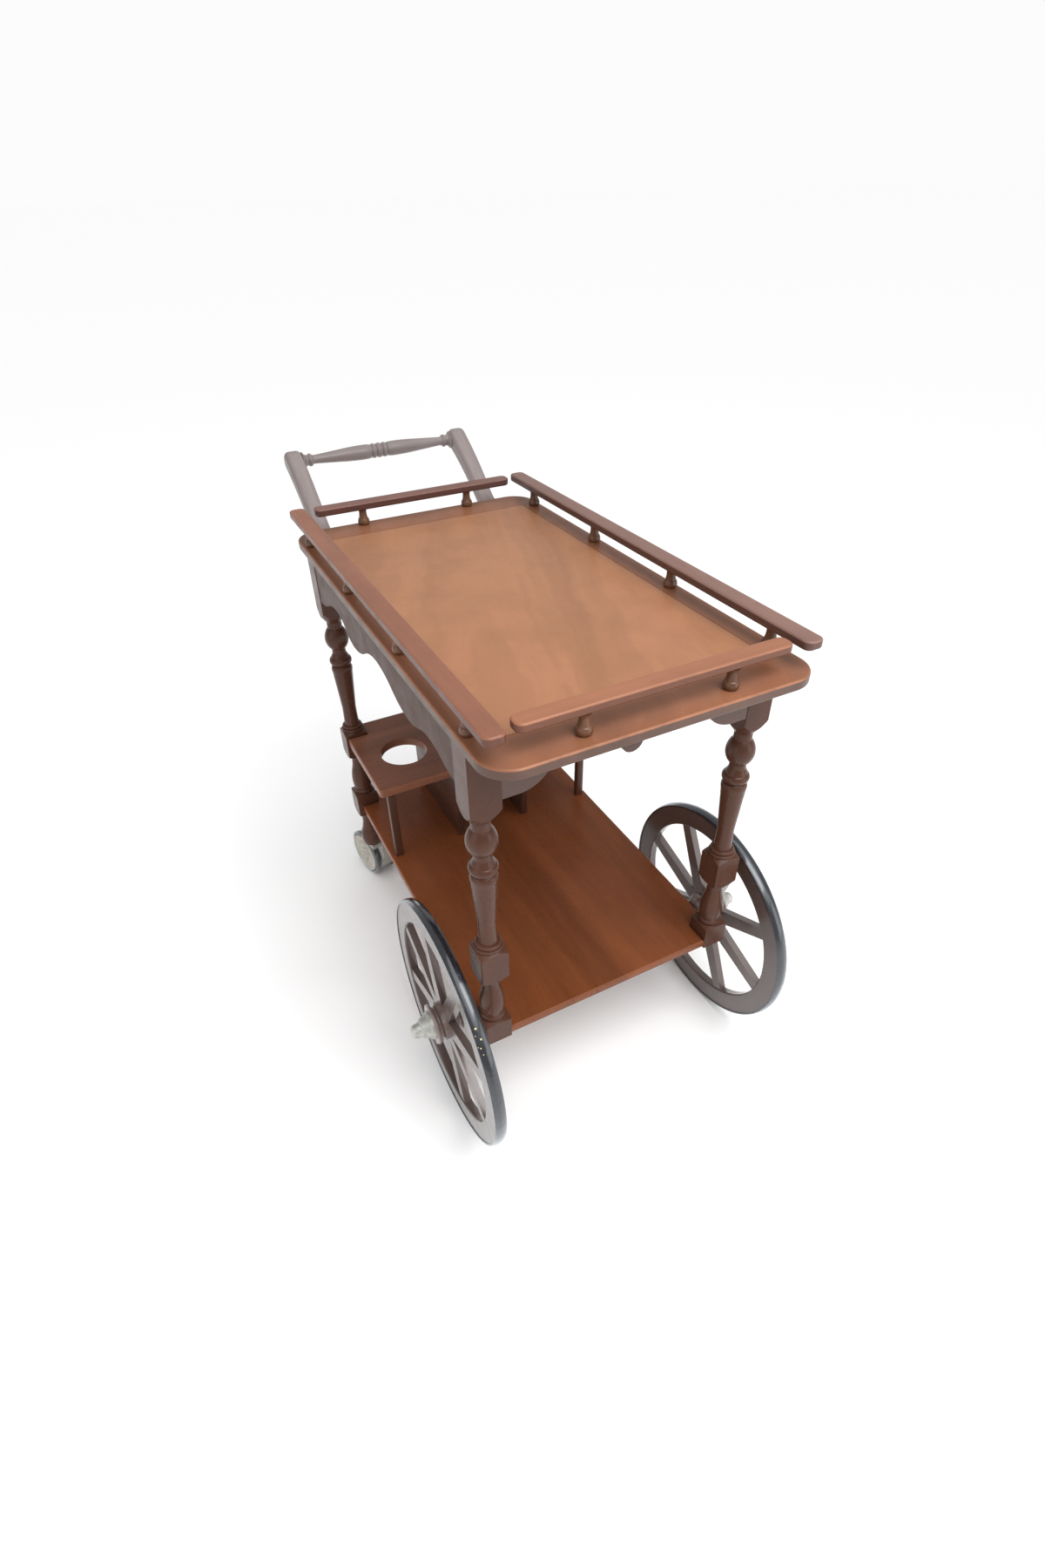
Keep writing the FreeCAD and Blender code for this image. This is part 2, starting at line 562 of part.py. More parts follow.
def make_rack():
    """Bottle holder: a board with three holes, two dividers and two front posts."""
    back, front = "(leg_reach + leg_width / 2)", "(leg_reach + leg_width / 2 - rack_depth)"
    side, eased = "rack_width / 2", "(rack_width / 2 - rack_corner)"
    step, stop, start = "rack_step_x", "clear_y", front + " + rack_corner"
    top = notched_board("rack_board", (
        ("-" + eased, front, LINE), (eased, front, "plumb_start"), (side, start, LINE),
        (side, stop, LINE), (step, stop, LINE), (step, back, LINE), ("-" + step, back, LINE),
        ("-" + step, stop, LINE), ("-" + side, stop, LINE), ("-" + side, start, "level_start")),
        "rack_thick", "rack_round", "rack_under")
    holes = sketch_on(top, "XY_Plane")
    for times in ("-bottle_pitch", "0", "bottle_pitch"):
        add_circle(holes, times, back + " - bottle_back", "bottle_bore / 2")
    cut(top, holes, "rack_thick", reverse=True)
    hole_edge = level_edges("rack_thick")
    bore = value("bottle_bore")
    soften(top, "bore_round", lambda edge: hole_edge(edge) and edge.BoundBox.XLength > bore * 0.9
           and edge.BoundBox.YLength > bore * 0.9 and edge.BoundBox.XLength < bore * 1.1)
    for side, sign in (("left", "-"), ("right", "")):
        divider = doc.addObject("Part::Box", "rack_divider_" + side)
        bind(divider, Length="divider_thick", Height="rack_under - shelf_top",
             Width="rack_depth - divider_setback - divider_back_gap")
        place(divider, sign + "divider_spacing / 2 - divider_thick / 2",
              "rack_front_y + divider_setback", "shelf_top")
        post = doc.addObject("Part::Box", "rack_post_" + side)
        bind(post, Length="post_width", Width="post_depth", Height="rack_under - shelf_top")
        place(post, sign + "(rack_width / 2 - post_inset) - post_width / 2",
              "rack_front_y + divider_setback", "shelf_top")
        for made in (divider, post):
            made.Label = made.Name
            nodes.append(made)


def make_axle():
    """Beam under the shelf that holds the axle rod of the two big wheels."""
    beam = body("axle_beam")
    section = sketch_on(beam, "YZ_Plane")
    half = "beam_depth / 2"
    low, corner = "shelf_under - beam_height", "beam_round"
    add_loop(section, ((half, "shelf_under", LINE), ("-" + half, "shelf_under", LINE),
                       ("-" + half, low + " + " + corner, "level_start"),
                       ("-%s + %s" % (half, corner), low, LINE),
                       (half + " - " + corner, low, "plumb_start"),
                       (half, low + " + " + corner, LINE)))
    add_circle(section, "0", "wheel_radius", "axle_radius")
    pad(beam, section, "beam_end * 2", middle=True)
    place(beam, "0", "axle_y")
    rod = doc.addObject("Part::Cylinder", "axle_rod")
    bind(rod, Radius="axle_radius", Height="axle_reach * 2")
    place(rod, "-axle_reach", "axle_y", "wheel_radius", Rotation(Vector(0, 1, 0), 90))
    rod.Label = rod.Name
    nodes.append(rod)
    make_ring_pair("axle_washers", "washer_radius", "washer_thick", "beam_end")
    make_ring_pair("axle_nuts", "nut_radius", "nut_length", "axle_reach - nut_length")


def make_ring_pair(name, radius, length, start):
    """Two equal rings round the axle rod, one at each side of the trolley."""
    pair = body(name)
    rings = sketch_on(pair, "YZ_Plane", start)
    add_circle(rings, "0", "wheel_radius", radius)
    add_circle(rings, "0", "wheel_radius", "axle_radius")
    first = pad(pair, rings, length)
    doc.recompute()
    mirror = pair.newObject("PartDesign::Mirrored", name + "_mirror")
    mirror.Originals = [first]
    mirror.MirrorPlane = (origin_part(pair, "YZ_Plane"), [""])
    pair.Tip = mirror
    place(pair, "0", "axle_y")


def make_wheel(side, sign, lean, spoke_turn):
    """Big wheel about its own Z axis, which points away from the trolley."""
    turn = Rotation(Vector(0, 1, 0), lean)

    def set_in_place(thing):
        place(thing, sign + "wheel_plane", "axle_y", "wheel_radius", turn)

    rim = body("wheel_rim_" + side)
    plan = sketch_on(rim, "XY_Plane")
    add_circle(plan, "0", "0", "rim_outer")
    add_circle(plan, "0", "0", "rim_inner")
    pad(rim, plan, "rim_thick", middle=True)
    inner = value("rim_inner") * 2.02
    faces = level_edges("rim_thick / 2", "-rim_thick / 2")
    soften(rim, "rim_round", lambda edge: faces(edge) and edge.BoundBox.XLength < inner)
    set_in_place(rim)

    tyre = body("tyre_" + side)
    section = sketch_on(tyre, "XZ_Plane")
    half, crown = "tyre_width / 2", "(wheel_radius - tyre_radial / 2)"
    add_loop(section, (("rim_outer", "-" + half, LINE), (crown, "-" + half, "level_end"),
                       ("wheel_radius", "0", "level_start"), (crown, half, LINE),
                       ("rim_outer", half, LINE)))
    revolve(tyre, section)
    set_in_place(tyre)

    spokes = body("spokes_" + side)
    flat = sketch_on(spokes, "XY_Plane")
    root, tip = "spoke_inner_width / 2", "spoke_outer_width / 2"
    root_x = "sqrt(hub_radius ^ 2 - (spoke_inner_width / 2) ^ 2)"
    tip_x = "sqrt(rim_inner ^ 2 - (spoke_outer_width / 2) ^ 2)"
    add_loop(flat, ((root_x, root, "round_right", "hub_radius"), (root_x, "-" + root, LINE),
                    (tip_x, "-" + tip, "round_left", "rim_inner"), (tip_x, tip, LINE)))
    first = pad(spokes, flat, "spoke_thick", middle=True)
    doc.recompute()
    pattern = spokes.newObject("PartDesign::PolarPattern", "spokes_pattern_" + side)
    pattern.Originals = [first]
    pattern.Axis = (origin_part(spokes, "Z_Axis"), [""])
    pattern.Angle = 360
    bind(pattern, Occurrences="spoke_count")
    spokes.Tip = pattern
    place(spokes, sign + "wheel_plane", "axle_y", "wheel_radius",
          turn.multiply(Rotation(Vector(0, 0, 1), value(spoke_turn))))

    hub = body("hub_" + side)
    profile = sketch_on(hub, "XZ_Plane")
    bore = "axle_radius + running_gap"
    height = "(hub_inner + hub_outer)"
    add_loop(profile, [(bore, "-hub_inner", LINE)]
             + turned_rows(HUB_SHARES, height, "hub_radius", "-hub_inner")
             + [(bore, "hub_outer", LINE)])
    revolve(hub, profile)
    set_in_place(hub)

    cap = body("hub_cap_" + side)
    shell = sketch_on(cap, "XZ_Plane")
    rows = turned_rows(CAP_SHARES, "cap_length", "cap_radius", "hub_outer")
    end = "hub_outer + cap_length"
    add_loop(shell, [("cap_hollow", "hub_outer", LINE)] + rows
             + [("0", end, LINE), ("0", "hub_outer + cap_bore_depth", LINE),
                ("cap_hollow", "hub_outer + cap_bore_depth", LINE)])
    revolve(cap, shell)
    set_in_place(cap)


def make_wheels():
    make_wheel("left", "-", -90, "-left_spoke_turn")
    make_wheel("right", "", 90, "right_spoke_turn")


def make_screws():
    """Round-headed screws that hold the arms' feet under the board."""
    screws = body("arm_screws")
    head = sketch_on(screws, "XY_Plane", "-arm_depth - arm_screw_rise")
    shank = sketch_on(screws, "XY_Plane", "-arm_depth")
    for across, along in screw_places():
        add_circle(head, across, along, "arm_screw_head")
        add_circle(shank, across, along, "arm_screw_shank")
    pad(screws, head, "arm_screw_rise")
    pad(screws, shank, "arm_depth + arm_screw_grip")
    place(screws, "0", "mid_y", "board_under")


def make_caster(side, sign):
    """Caster whose pair of discs trails beside its stem, turned a little out."""
    def set_in_place(thing, forward="0", beside="0", up="0", tilt=None):
        heading = Rotation(Vector(0, 0, 1), value("90 + caster_turn"))
        place(thing, "%sleg_x + %s * cos(90 + caster_turn) - (%s) * sin(90 + caster_turn)"
              % (sign, forward, beside),
              "far_leg_y + %s * sin(90 + caster_turn) + (%s) * cos(90 + caster_turn)"
              % (forward, beside), up, heading if tilt is None else heading.multiply(tilt))

    sleeve = "(stem_radius + running_gap)"
    socket = body("caster_socket_" + side)
    profile = sketch_on(socket, "XZ_Plane")
    foot, top = "far_leg_foot", "far_leg_foot + stem_length"
    add_loop(profile, ((sleeve, foot + " - flange_thick", LINE),
                       ("socket_flange", foot + " - flange_thick", LINE),
                       ("socket_flange", foot, LINE), (sleeve + " + socket_wall", foot, LINE),
                       (sleeve + " + socket_wall", top + " + socket_wall", LINE),
                       ("0", top + " + socket_wall", LINE), ("0", top, LINE),
                       (sleeve, top, LINE)))
    revolve(socket, profile)
    place(socket, sign + "leg_x", "far_leg_y")

    stem = doc.addObject("Part::Cylinder", "caster_stem_" + side)
    bind(stem, Radius="stem_radius", Height="stem_length + flange_thick")
    set_in_place(stem, up="caster_top")
    stem.Label = stem.Name
    nodes.append(stem)

    hood = body("caster_hood_" + side)
    plate = sketch_on(hood, "XY_Plane", "caster_top - hood_thick")
    inner_side = "-(caster_offset + web_thick / 2)"
    add_loop(plate, (("-hood_back", inner_side, LINE), ("hood_reach", inner_side, LINE),
                     ("hood_reach", "hood_side", LINE), ("-hood_back", "hood_side", LINE)))
    pad(hood, plate, "hood_thick")
    soften(hood, "hood_round", level_edges("caster_top", "caster_top - hood_thick"))
    web = sketch_on(hood, "XZ_Plane", "caster_offset")
    seat = "caster_top - hood_thick / 2"
    add_loop(web, (("hood_round - hood_back", seat, LINE),
                   ("hood_round - hood_back", "disc_radius + web_radius / 2", LINE),
                   ("trail - web_radius", "disc_radius", "level_start"),
                   ("trail", "disc_radius - web_radius", "level_end"),
                   ("trail + web_radius", "disc_radius", "level_start"),
                   ("trail", "disc_radius + web_radius", LINE),
                   ("hood_reach - hood_round", seat, LINE)))
    add_circle(web, "trail", "disc_radius", "caster_pin + running_gap")
    pad(hood, web, "web_thick", middle=True)
    set_in_place(hood)

    pin = doc.addObject("Part::Cylinder", "caster_pin_" + side)
    bind(pin, Radius="caster_pin", Height="2 * (disc_lift + disc_thick - disc_recess)")
    set_in_place(pin, "trail", "-caster_offset - (disc_lift + disc_thick - disc_recess)",
                 "disc_radius", Rotation(Vector(1, 0, 0), -90))
    pin.Label = pin.Name
    nodes.append(pin)

    for where, facing, tilt in (("outer", "", -90), ("inner", "-", 90)):
        disc = body("caster_disc_%s_%s" % (side, where))
        section = sketch_on(disc, "XZ_Plane")
        face = "(disc_thick - disc_recess)"
        add_loop(section, (
            ("caster_pin", "0", LINE), ("disc_radius - disc_round", "0", "plumb_start"),
            ("disc_radius", "disc_round", LINE),
            ("disc_radius", "disc_thick - disc_round", "level_start"),
            ("disc_radius - disc_round", "disc_thick", LINE),
            ("disc_radius - disc_rim", "disc_thick", LINE),
            ("disc_radius - disc_rim - disc_recess", face, LINE),
            ("boss_radius + disc_recess", face, LINE),
            ("boss_radius", "disc_thick", LINE), ("boss_radius / 2", "disc_thick + boss_rise", LINE),
            ("0", "disc_thick + boss_rise", LINE), ("0", face, LINE), ("caster_pin", face, LINE)))
        revolve(disc, section)
        set_in_place(disc, "trail", "-caster_offset + %s1 * disc_lift" % facing, "disc_radius",
                     Rotation(Vector(1, 0, 0), tilt))


def make_casters():
    make_caster("left", "-")
    make_caster("right", "")


def make_handle():
    """Two arms swept up from under the board's overhang and a turned bar."""
    sweep, deep, rake = "arm_sweep", "arm_depth", "arm_rake"
    upper = (sweep + " * sin(arm_rake)", sweep + " * (1 - cos(arm_rake))")
    lower = ("(arm_sweep + arm_depth) * sin(arm_rake)",
             "arm_sweep - (arm_sweep + arm_depth) * cos(arm_rake)")
    back = ("handle_reach - arm_head * sin(arm_rake)", "handle_rise + arm_head * cos(arm_rake)")
    belly = ("handle_reach + arm_head * sin(arm_rake)", "handle_rise - arm_head * cos(arm_rake)")
    for side, sign in (("left", "-"), ("right", "")):
        arm = body("handle_arm_" + side)
        outline = sketch_on(arm, "YZ_Plane")
        add_loop(outline, (
            ("-arm_foot", "-arm_depth", LINE), ("0", "-arm_depth", "plumb_start"),
            lower + ("round_right", "arm_belly_radius"), belly + ("level_end",),
            ("handle_reach + arm_head", "handle_rise", "level_start"),
            back + ("round_left", "arm_back_radius"), upper + ("plumb_end",),
            ("0", "0", LINE), ("-arm_foot", "0", LINE)))
        pad(arm, outline, "arm_thick", middle=True)
        slack = value("arm_thick") * 1e-6
        soften(arm, "arm_round", lambda edge: edge.BoundBox.XLength < slack
               and edge.BoundBox.YMin > -slack)
        socket = sketch_on(arm, "YZ_Plane", "%s(arm_thick / 2 - grip_tenon_length)"
                           % ("" if side == "left" else "-"))
        add_circle(socket, "handle_reach", "handle_rise", "grip_tenon")
        cut(arm, socket, "arm_thick", reverse=side == "left")
        bores = sketch_on(arm, "XY_Plane")
        for along in ("-arm_screw_end", "-arm_screw_end - arm_screw_pitch"):
            add_circle(bores, "0", along, "arm_screw_shank")
        cut(arm, bores, "arm_depth")
        place(arm, sign + "(arm_spacing + arm_thick) / 2", "mid_y + top_length / 2",
              "board_under")
    grip = body("handle_grip")
    profile = sketch_on(grip, "XZ_Plane")
    half = "arm_spacing / 2"
    outer = turned_rows(GRIP_SHARES, half, "grip_radius")
    swap = {LINE: LINE, END: START, START: END}
    ways = [row[2] for row in outer]
    lower_side = [(outer[k][0], "-(%s)" % outer[k][1], swap[ways[k - 1]])
                  for k in range(len(outer) - 1, 0, -1)]
    tenon = half + " + grip_tenon_length"
    add_loop(profile, [("0", "-(%s)" % tenon, LINE), ("grip_tenon", "-(%s)" % tenon, LINE),
                       ("grip_tenon", "-" + half, LINE)] + lower_side + outer
             + [("grip_tenon", half, LINE), ("grip_tenon", tenon, LINE), ("0", tenon, LINE)])
    revolve(grip, profile)
    place(grip, "0", "bar_y", "bar_z", Rotation(Vector(0, 1, 0), 90))


make = (make_top, make_gallery, make_legs, make_aprons, make_glue_blocks, make_shelf,
        make_rack, make_axle, make_wheels, make_casters, make_handle, make_screws)

fill(sizes, SIZES)
doc.recompute()
for alias, text in PLACES:
    sheet_of.setdefault(alias, places.Name)
fill(places, [(alias, "=" + bound(text).replace("Places.", "")) for alias, text in PLACES])
doc.recompute()
for step in make:
    step()
doc.recompute()

for made in doc.Objects:
    if "Invalid" in made.State or "Error" in made.State:
        raise RuntimeError(made.Label + " failed: " + ", ".join(made.State))
for made in nodes:
    if made.Shape.isNull() or not made.Shape.isValid():
        raise RuntimeError(made.Label + " has no valid shape")
os.makedirs("parts", exist_ok=True)
for made in nodes:
    made.Shape.exportStep("parts/" + made.Label + ".step")
print(len(nodes), "pieces written")
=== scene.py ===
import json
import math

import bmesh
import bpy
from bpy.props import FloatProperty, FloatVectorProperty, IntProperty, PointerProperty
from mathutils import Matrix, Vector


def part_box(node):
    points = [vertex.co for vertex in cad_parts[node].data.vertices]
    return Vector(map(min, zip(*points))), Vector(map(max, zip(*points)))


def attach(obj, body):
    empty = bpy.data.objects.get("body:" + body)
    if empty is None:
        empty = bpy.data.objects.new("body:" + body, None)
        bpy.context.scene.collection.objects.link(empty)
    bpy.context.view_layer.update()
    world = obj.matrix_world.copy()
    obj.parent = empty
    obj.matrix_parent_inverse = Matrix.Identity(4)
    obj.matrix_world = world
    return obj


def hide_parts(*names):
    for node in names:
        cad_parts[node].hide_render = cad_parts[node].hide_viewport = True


bl_info = {
    "name": "Serving Trolley",
    "version": (1, 0, 0),
    "blender": (4, 5, 0),
    "location": "View3D > Sidebar > Trolley",
    "description": "Finishes a galleried serving trolley with spoked wheels and casters",
    "category": "Add Mesh",
}

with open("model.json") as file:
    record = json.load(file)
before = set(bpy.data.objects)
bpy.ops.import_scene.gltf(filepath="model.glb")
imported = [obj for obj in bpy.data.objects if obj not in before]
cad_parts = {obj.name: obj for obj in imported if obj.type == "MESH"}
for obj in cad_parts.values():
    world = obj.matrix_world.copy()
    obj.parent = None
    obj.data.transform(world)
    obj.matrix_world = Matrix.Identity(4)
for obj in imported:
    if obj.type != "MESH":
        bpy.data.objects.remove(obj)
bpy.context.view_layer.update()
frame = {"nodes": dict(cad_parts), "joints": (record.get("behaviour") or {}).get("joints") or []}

NODES = frame["nodes"]
JOINTS = {row["name"]: row for row in frame["joints"]}
SIDES = ("left", "right")
GRAIN = {"X": (0.07, 1, 1), "Y": (1, 0.07, 1), "Z": (1, 1, 0.07)}

# stains, darkening and painted shade that multiply a wood's colour, and colours that no setting
# holds
NO_STAIN = (1, 1, 1, 1)
BORDER_DARKENING = (0.74, 0.67, 0.69, 1)
RAIL_SIDE_PAINTED_SHADE = (0.50, 0.44, 0.44, 1)
FELLOE_JOINT_STAIN = (0.25, 0.22, 0.2, 1)
RUBBER_DUST = (0.16, 0.155, 0.15, 1)
RUBBER_SHEEN = (0.86, 0.92, 1.0, 1.0)
RAW_WOOD = (0.30, 0.18, 0.10)
PIN_STEEL = (0.55, 0.54, 0.52)
BACKDROP = (0.97, 0.97, 0.97, 1)
PAPER, PAPER_SPECK = (0.985, 0.985, 0.985, 1), (0.965, 0.965, 0.965, 1)

# scales of the noises, per metre
DRIFT_SCALE, BAND_SCALE, STREAK_SCALE, PORE_SCALE = 13.0, 48.0, 190.0, 560.0
PATCH_SCALE, SHEEN_SCALE, RIPPLE_SCALE, WEAR_SCALE = 9.0, 34.0, 16.0, 26.0
DUST_SCALE, RING_SCALE, RUBBER_GRAIN = 90.0, 40.0, 700.0
GRIME_SCALE, CLOUD_SCALE, SCRATCH_SCALE, POLISH_SCALE = 120.0, 24.0, 1500.0, 60.0
GROWTH_LINES = 64.0

# border line, worn edge with its painted highlight line, and rounding of the boards, in metres
BORDER_LINE = 0.0004
RAIL_WEAR = 0.002
NO_BAND = (-1, -1)
ROUND_EDGE = 0.0028
ROUND_START = 0.0016

# lights: (size, place, aim) of each lamp
DAYLIGHT_SPREAD = math.radians(70)
DAYLIGHT_TRAVEL = (-0.12, 0.35, -0.93)
NEAR_LAMP = (1.1, (0.2, -1.2, 2.0), (0, -0.3, 0.4))
LEFT_LAMP = (1.6, (-2.2, -0.6, 1.2), (0, -0.2, 0.3))
RIGHT_LAMP = (1.4, (1.5, -2.3, 0.9), (0.1, -0.4, 0.4))


def joint_place(name):
    return Vector(JOINTS[name]["pos_m"])


def joint_axis(name):
    return Vector(JOINTS[name]["axis"])


def node_box(name):
    low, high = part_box(name)
    return low, high, (low + high) / 2


# ---------------------------------------------------------------- finishes

class Finish:
    """Builds the nodes of one procedural material."""

    def __init__(self, name):
        self.material = bpy.data.materials.new(name)
        self.material.use_nodes = True
        self.tree = self.material.node_tree
        self.shader = self.tree.nodes["Principled BSDF"]

    def put(self, socket, value):
        if isinstance(value, bpy.types.NodeSocket):
            self.tree.links.new(value, socket)
        else:
            socket.default_value = value

    def add(self, kind, values=(), **settings):
        node = self.tree.nodes.new("ShaderNode" + kind)
        for key, value in settings.items():
            setattr(node, key, value)
        for key, value in dict(values).items():
            self.put(node.inputs[key], value)
        return node

    def surface(self, **values):
        """Constants and links on the shader's own sockets."""
        for key, value in values.items():
            self.put(self.shader.inputs[key.replace("_", " ")], value)

    def place(self):
        return self.add("TexCoord").outputs["Object"]

    def sum(self, operation, first, second=0.0, clamp=False):
        node = self.add("Math", {0: first, 1: second}, operation=operation, use_clamp=clamp)
        return node.outputs[0]

    def vector(self, operation, first, second=(0, 0, 0)):
        node = self.add("VectorMath", {0: first, 1: second}, operation=operation)
        return node.outputs["Value" if operation == "LENGTH" else "Vector"]

    def noise(self, place, scale, detail=3.0, roughness=0.55, distortion=0.0):
        node = self.add("TexNoise", {"Vector": place, "Scale": scale, "Detail": detail,
                                     "Roughness": roughness, "Distortion": distortion})
        return node.outputs[0]

    def fade(self, value, start, end, low=0.0, high=1.0):
        """Smooth step from low to high as the value goes from start to end."""
        node = self.add("MapRange", {"Value": value, "From Min": start, "From Max": end,
                                     "To Min": low, "To Max": high},
                        interpolation_type="SMOOTHSTEP")
        return node.outputs[0]

    def mix(self, factor, first, second, way="MIX"):
        node = self.add("Mix", {0: factor, 6: first, 7: second}, data_type="RGBA", blend_type=way)
        return node.outputs[2]

    def bump(self, height, strength, distance):
        node = self.add("Bump", {"Height": height, "Strength": strength, "Distance": distance})
        self.put(self.shader.inputs["Normal"], node.outputs[0])

    def parts(self, place):
        return self.add("SeparateXYZ", {0: place}).outputs

    def polar(self, place, centre, reach):
        """(across, turn, radius, turn as a length at the reach) about an axle along X."""
        x, y, z = self.parts(self.vector("SUBTRACT", place, tuple(centre)))
        turn = self.sum("ARCTAN2", z, y)
        radius = self.vector("LENGTH", self.add("CombineXYZ", {1: y, 2: z}).outputs[0])
        return x, turn, radius, self.sum("MULTIPLY", turn, reach)


def opaque(colour):
    return tuple(colour) + (1.0,)


def shade_of(colour, factor):
    return opaque(max(0.0, c * factor) for c in colour)


def multiplied(colour, *shares):
    """Colour times one share, or times a share for each channel."""
    return [c * share for c, share in zip(colour, shares * (3 // len(shares)))]


def wood(name, colour, grain="Z", contrast=1.0, rough=0.34, sheen=0.35, figure=9.0, place=None,
         finish=None, tone=None, wear_and_highlight=None, rings=0.25, pores=0.22, wave=0.006, coat=0.0):
    """Varnished hardwood: broad figure, growth lines, streaks, pores and uneven sheen."""
    make = finish or Finish(name)
    where = place or make.place()
    drift = make.add("TexNoise", {"Vector": where, "Scale": DRIFT_SCALE,
                                  "Detail": 2.0}).outputs["Color"]
    drift = make.vector("MULTIPLY", make.vector("SUBTRACT", drift, (0.5, 0.5, 0.5)), (wave,) * 3)
    stretched = make.vector("MULTIPLY", make.vector("ADD", where, drift), GRAIN[grain])
    broad = make.noise(stretched, figure, 3.0, 0.55, 1.2)
    lines = make.fade(make.sum("SINE", make.sum("MULTIPLY", broad, GROWTH_LINES)), -0.5, 1.0)
    bands = make.noise(stretched, BAND_SCALE, 3.0, 0.6, 0.5)
    streaks = make.noise(stretched, STREAK_SCALE, 4.0, 0.6, 0.3)
    dots = make.fade(make.noise(stretched, PORE_SCALE, 2.0, 0.5), 0.62, 0.76)
    patches = make.noise(where, PATCH_SCALE, 3.0, 0.6)
    low, high = 1.0 - 0.42 * contrast, 1.0 + 0.34 * contrast
    dark, light = shade_of(colour, low), shade_of(colour, high)
    tint = make.mix(make.fade(broad, 0.30, 0.70), dark, light)
    tint = make.mix(make.sum("MULTIPLY", lines, rings * contrast), tint, dark)
    tint = make.mix(make.fade(bands, 0.36, 0.66, 0.0, 0.45 * contrast), tint, light)
    tint = make.mix(make.fade(streaks, 0.42, 0.70, 0.0, 0.35 * contrast), tint, dark)
    tint = make.mix(make.fade(patches, 0.42, 0.68, 0.0, 0.28), tint, shade_of(colour, 0.72))
    tint = make.mix(make.sum("MULTIPLY", dots, pores), tint, shade_of(colour, 0.34))
    if tone is not None:
        tint = make.mix(tone[0], tint, tone[1], "MULTIPLY")
    uneven = make.fade(make.noise(where, SHEEN_SCALE, 2.0, 0.6), 0.3, 0.75, rough - 0.04,
                       rough + 0.06)
    # worn edge and painted highlight: a lighter, rougher line along the rounded upper edges
    if wear_and_highlight is not None:
        tint = make.mix(make.sum("MULTIPLY", wear_and_highlight, 0.30), tint, shade_of(colour, 1.5))
        uneven = make.sum("ADD", uneven, make.sum("MULTIPLY", wear_and_highlight, 0.10), clamp=True)
    make.surface(Base_Color=tint, Roughness=uneven, Specular_IOR_Level=sheen, Coat_Weight=coat,
                 Coat_Roughness=0.16)
    grooves = make.sum("ADD", make.sum("MULTIPLY", dots, 0.7), make.sum("MULTIPLY", streaks, 0.3))
    ripple = make.sum("MULTIPLY", make.noise(where, RIPPLE_SCALE, 2.0), 2.0)
    make.bump(make.sum("SUBTRACT", ripple, grooves), 0.04, 0.0002)
    return make.material


def board_masks(make, where, middle, half, band, edge):
    """Masks of a board's border band, of its worn outer edge with a painted highlight line, and
    of all below its face.
    """
    x, y, z = make.parts(make.vector("SUBTRACT", where, tuple(middle)))
    across, along = make.sum("ABSOLUTE", x), make.sum("ABSOLUTE", y)
    inner = half.x - band[0], half.y - band[1]
    border = make.sum("MAXIMUM", make.fade(across, inner[0] - BORDER_LINE, inner[0]),
                      make.fade(along, inner[1] - BORDER_LINE, inner[1]))
    rim = make.sum("MAXIMUM", make.fade(across, half.x - edge, half.x),
                   make.fade(along, half.y - edge, half.y))
    uneven = make.fade(make.noise(where, WEAR_SCALE, 4.0, 0.7), 0.35, 0.60)
    face = make.fade(z, half.z - ROUND_EDGE, half.z - ROUND_START)
    rim = make.sum("MULTIPLY", make.sum("MULTIPLY", rim, uneven), face)
    return border, rim, make.sum("SUBTRACT", 1.0, face)


def rubber(name, colour):
    """Smooth black tyre with faint rings, dust and a soft blue sheen."""
    make = Finish(name)
    where = make.place()
    dust = make.fade(make.noise(where, DUST_SCALE, 5.0, 0.7), 0.5, 0.8, 0.0, 0.22)
    tint = make.mix(dust, opaque(colour), RUBBER_DUST)
    rough = make.fade(make.noise(where, RING_SCALE, 3.0), 0.3, 0.7, 0.20, 0.30)
    make.surface(Base_Color=tint, Roughness=rough, Coat_Weight=1.0, Coat_Roughness=0.10,
                 Coat_Tint=RUBBER_SHEEN)
    make.bump(make.noise(where, RUBBER_GRAIN, 2.0), 0.12, 0.0002)
    return make.material


def metal(name, colour, rough=0.34, metallic=1.0, grime=0.4, grime_colour=(0.10, 0.085, 0.07)):
    """Plain or painted metal with fine scratches and grime in patches."""
    make = Finish(name)
    where = make.place()
    dirt = make.fade(make.noise(where, GRIME_SCALE, 5.0, 0.7, 0.4), 0.48, 0.78, 0.0, grime)
    cloud = make.fade(make.noise(where, CLOUD_SCALE, 3.0), 0.3, 0.7, 0.82, 1.12)
    tint = make.mix(1.0, opaque(colour), make.add("CombineXYZ", {0: cloud, 1: cloud, 2: cloud})
                    .outputs[0], "MULTIPLY")
    tint = make.mix(dirt, tint, opaque(grime_colour))
    scratch = make.noise(make.vector("MULTIPLY", where, (1, 1, 0.1)), SCRATCH_SCALE, 2.0)
    spread = make.fade(make.noise(where, POLISH_SCALE, 4.0, 0.7), 0.3, 0.7, rough - 0.07,
                       rough + 0.14)
    dull = make.sum("ADD", spread, make.sum("MULTIPLY", dirt, 0.3))
    make.surface(Base_Color=tint, Roughness=dull, Metallic=metallic)
    make.bump(scratch, 0.10, 0.0001)
    return make.material


def dress(material, *names):
    """Give CAD nodes a material through their own slots."""
    for name in names:
        node = NODES[name]
        for slot in node.material_slots:
            slot.material = material


# ------------------------------------------------------------------ pieces

def piece(name, mesh_of, material, body, replaced=()):
    """New object from a bmesh, on a body, with the given material."""
    mesh = bpy.data.meshes.new(name)
    mesh_of.to_mesh(mesh)
    mesh_of.free()
    made = bpy.data.objects.new(name, mesh)
    bpy.context.scene.collection.objects.link(made)
    mesh.materials.append(material)
    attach(made, body)
    if replaced:
        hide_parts(*replaced)
    return made


def axis_frame(centre, axis, up=Vector((0, 0, 1))):
    """Matrix whose Z runs along the axis and whose X runs as near up as it can."""
    z = axis.normalized()
    x = (up - z * up.dot(z)).normalized()
    y = z.cross(x)
    made = Matrix((x, y, z)).transposed().to_4x4()
    made.translation = centre
    return made


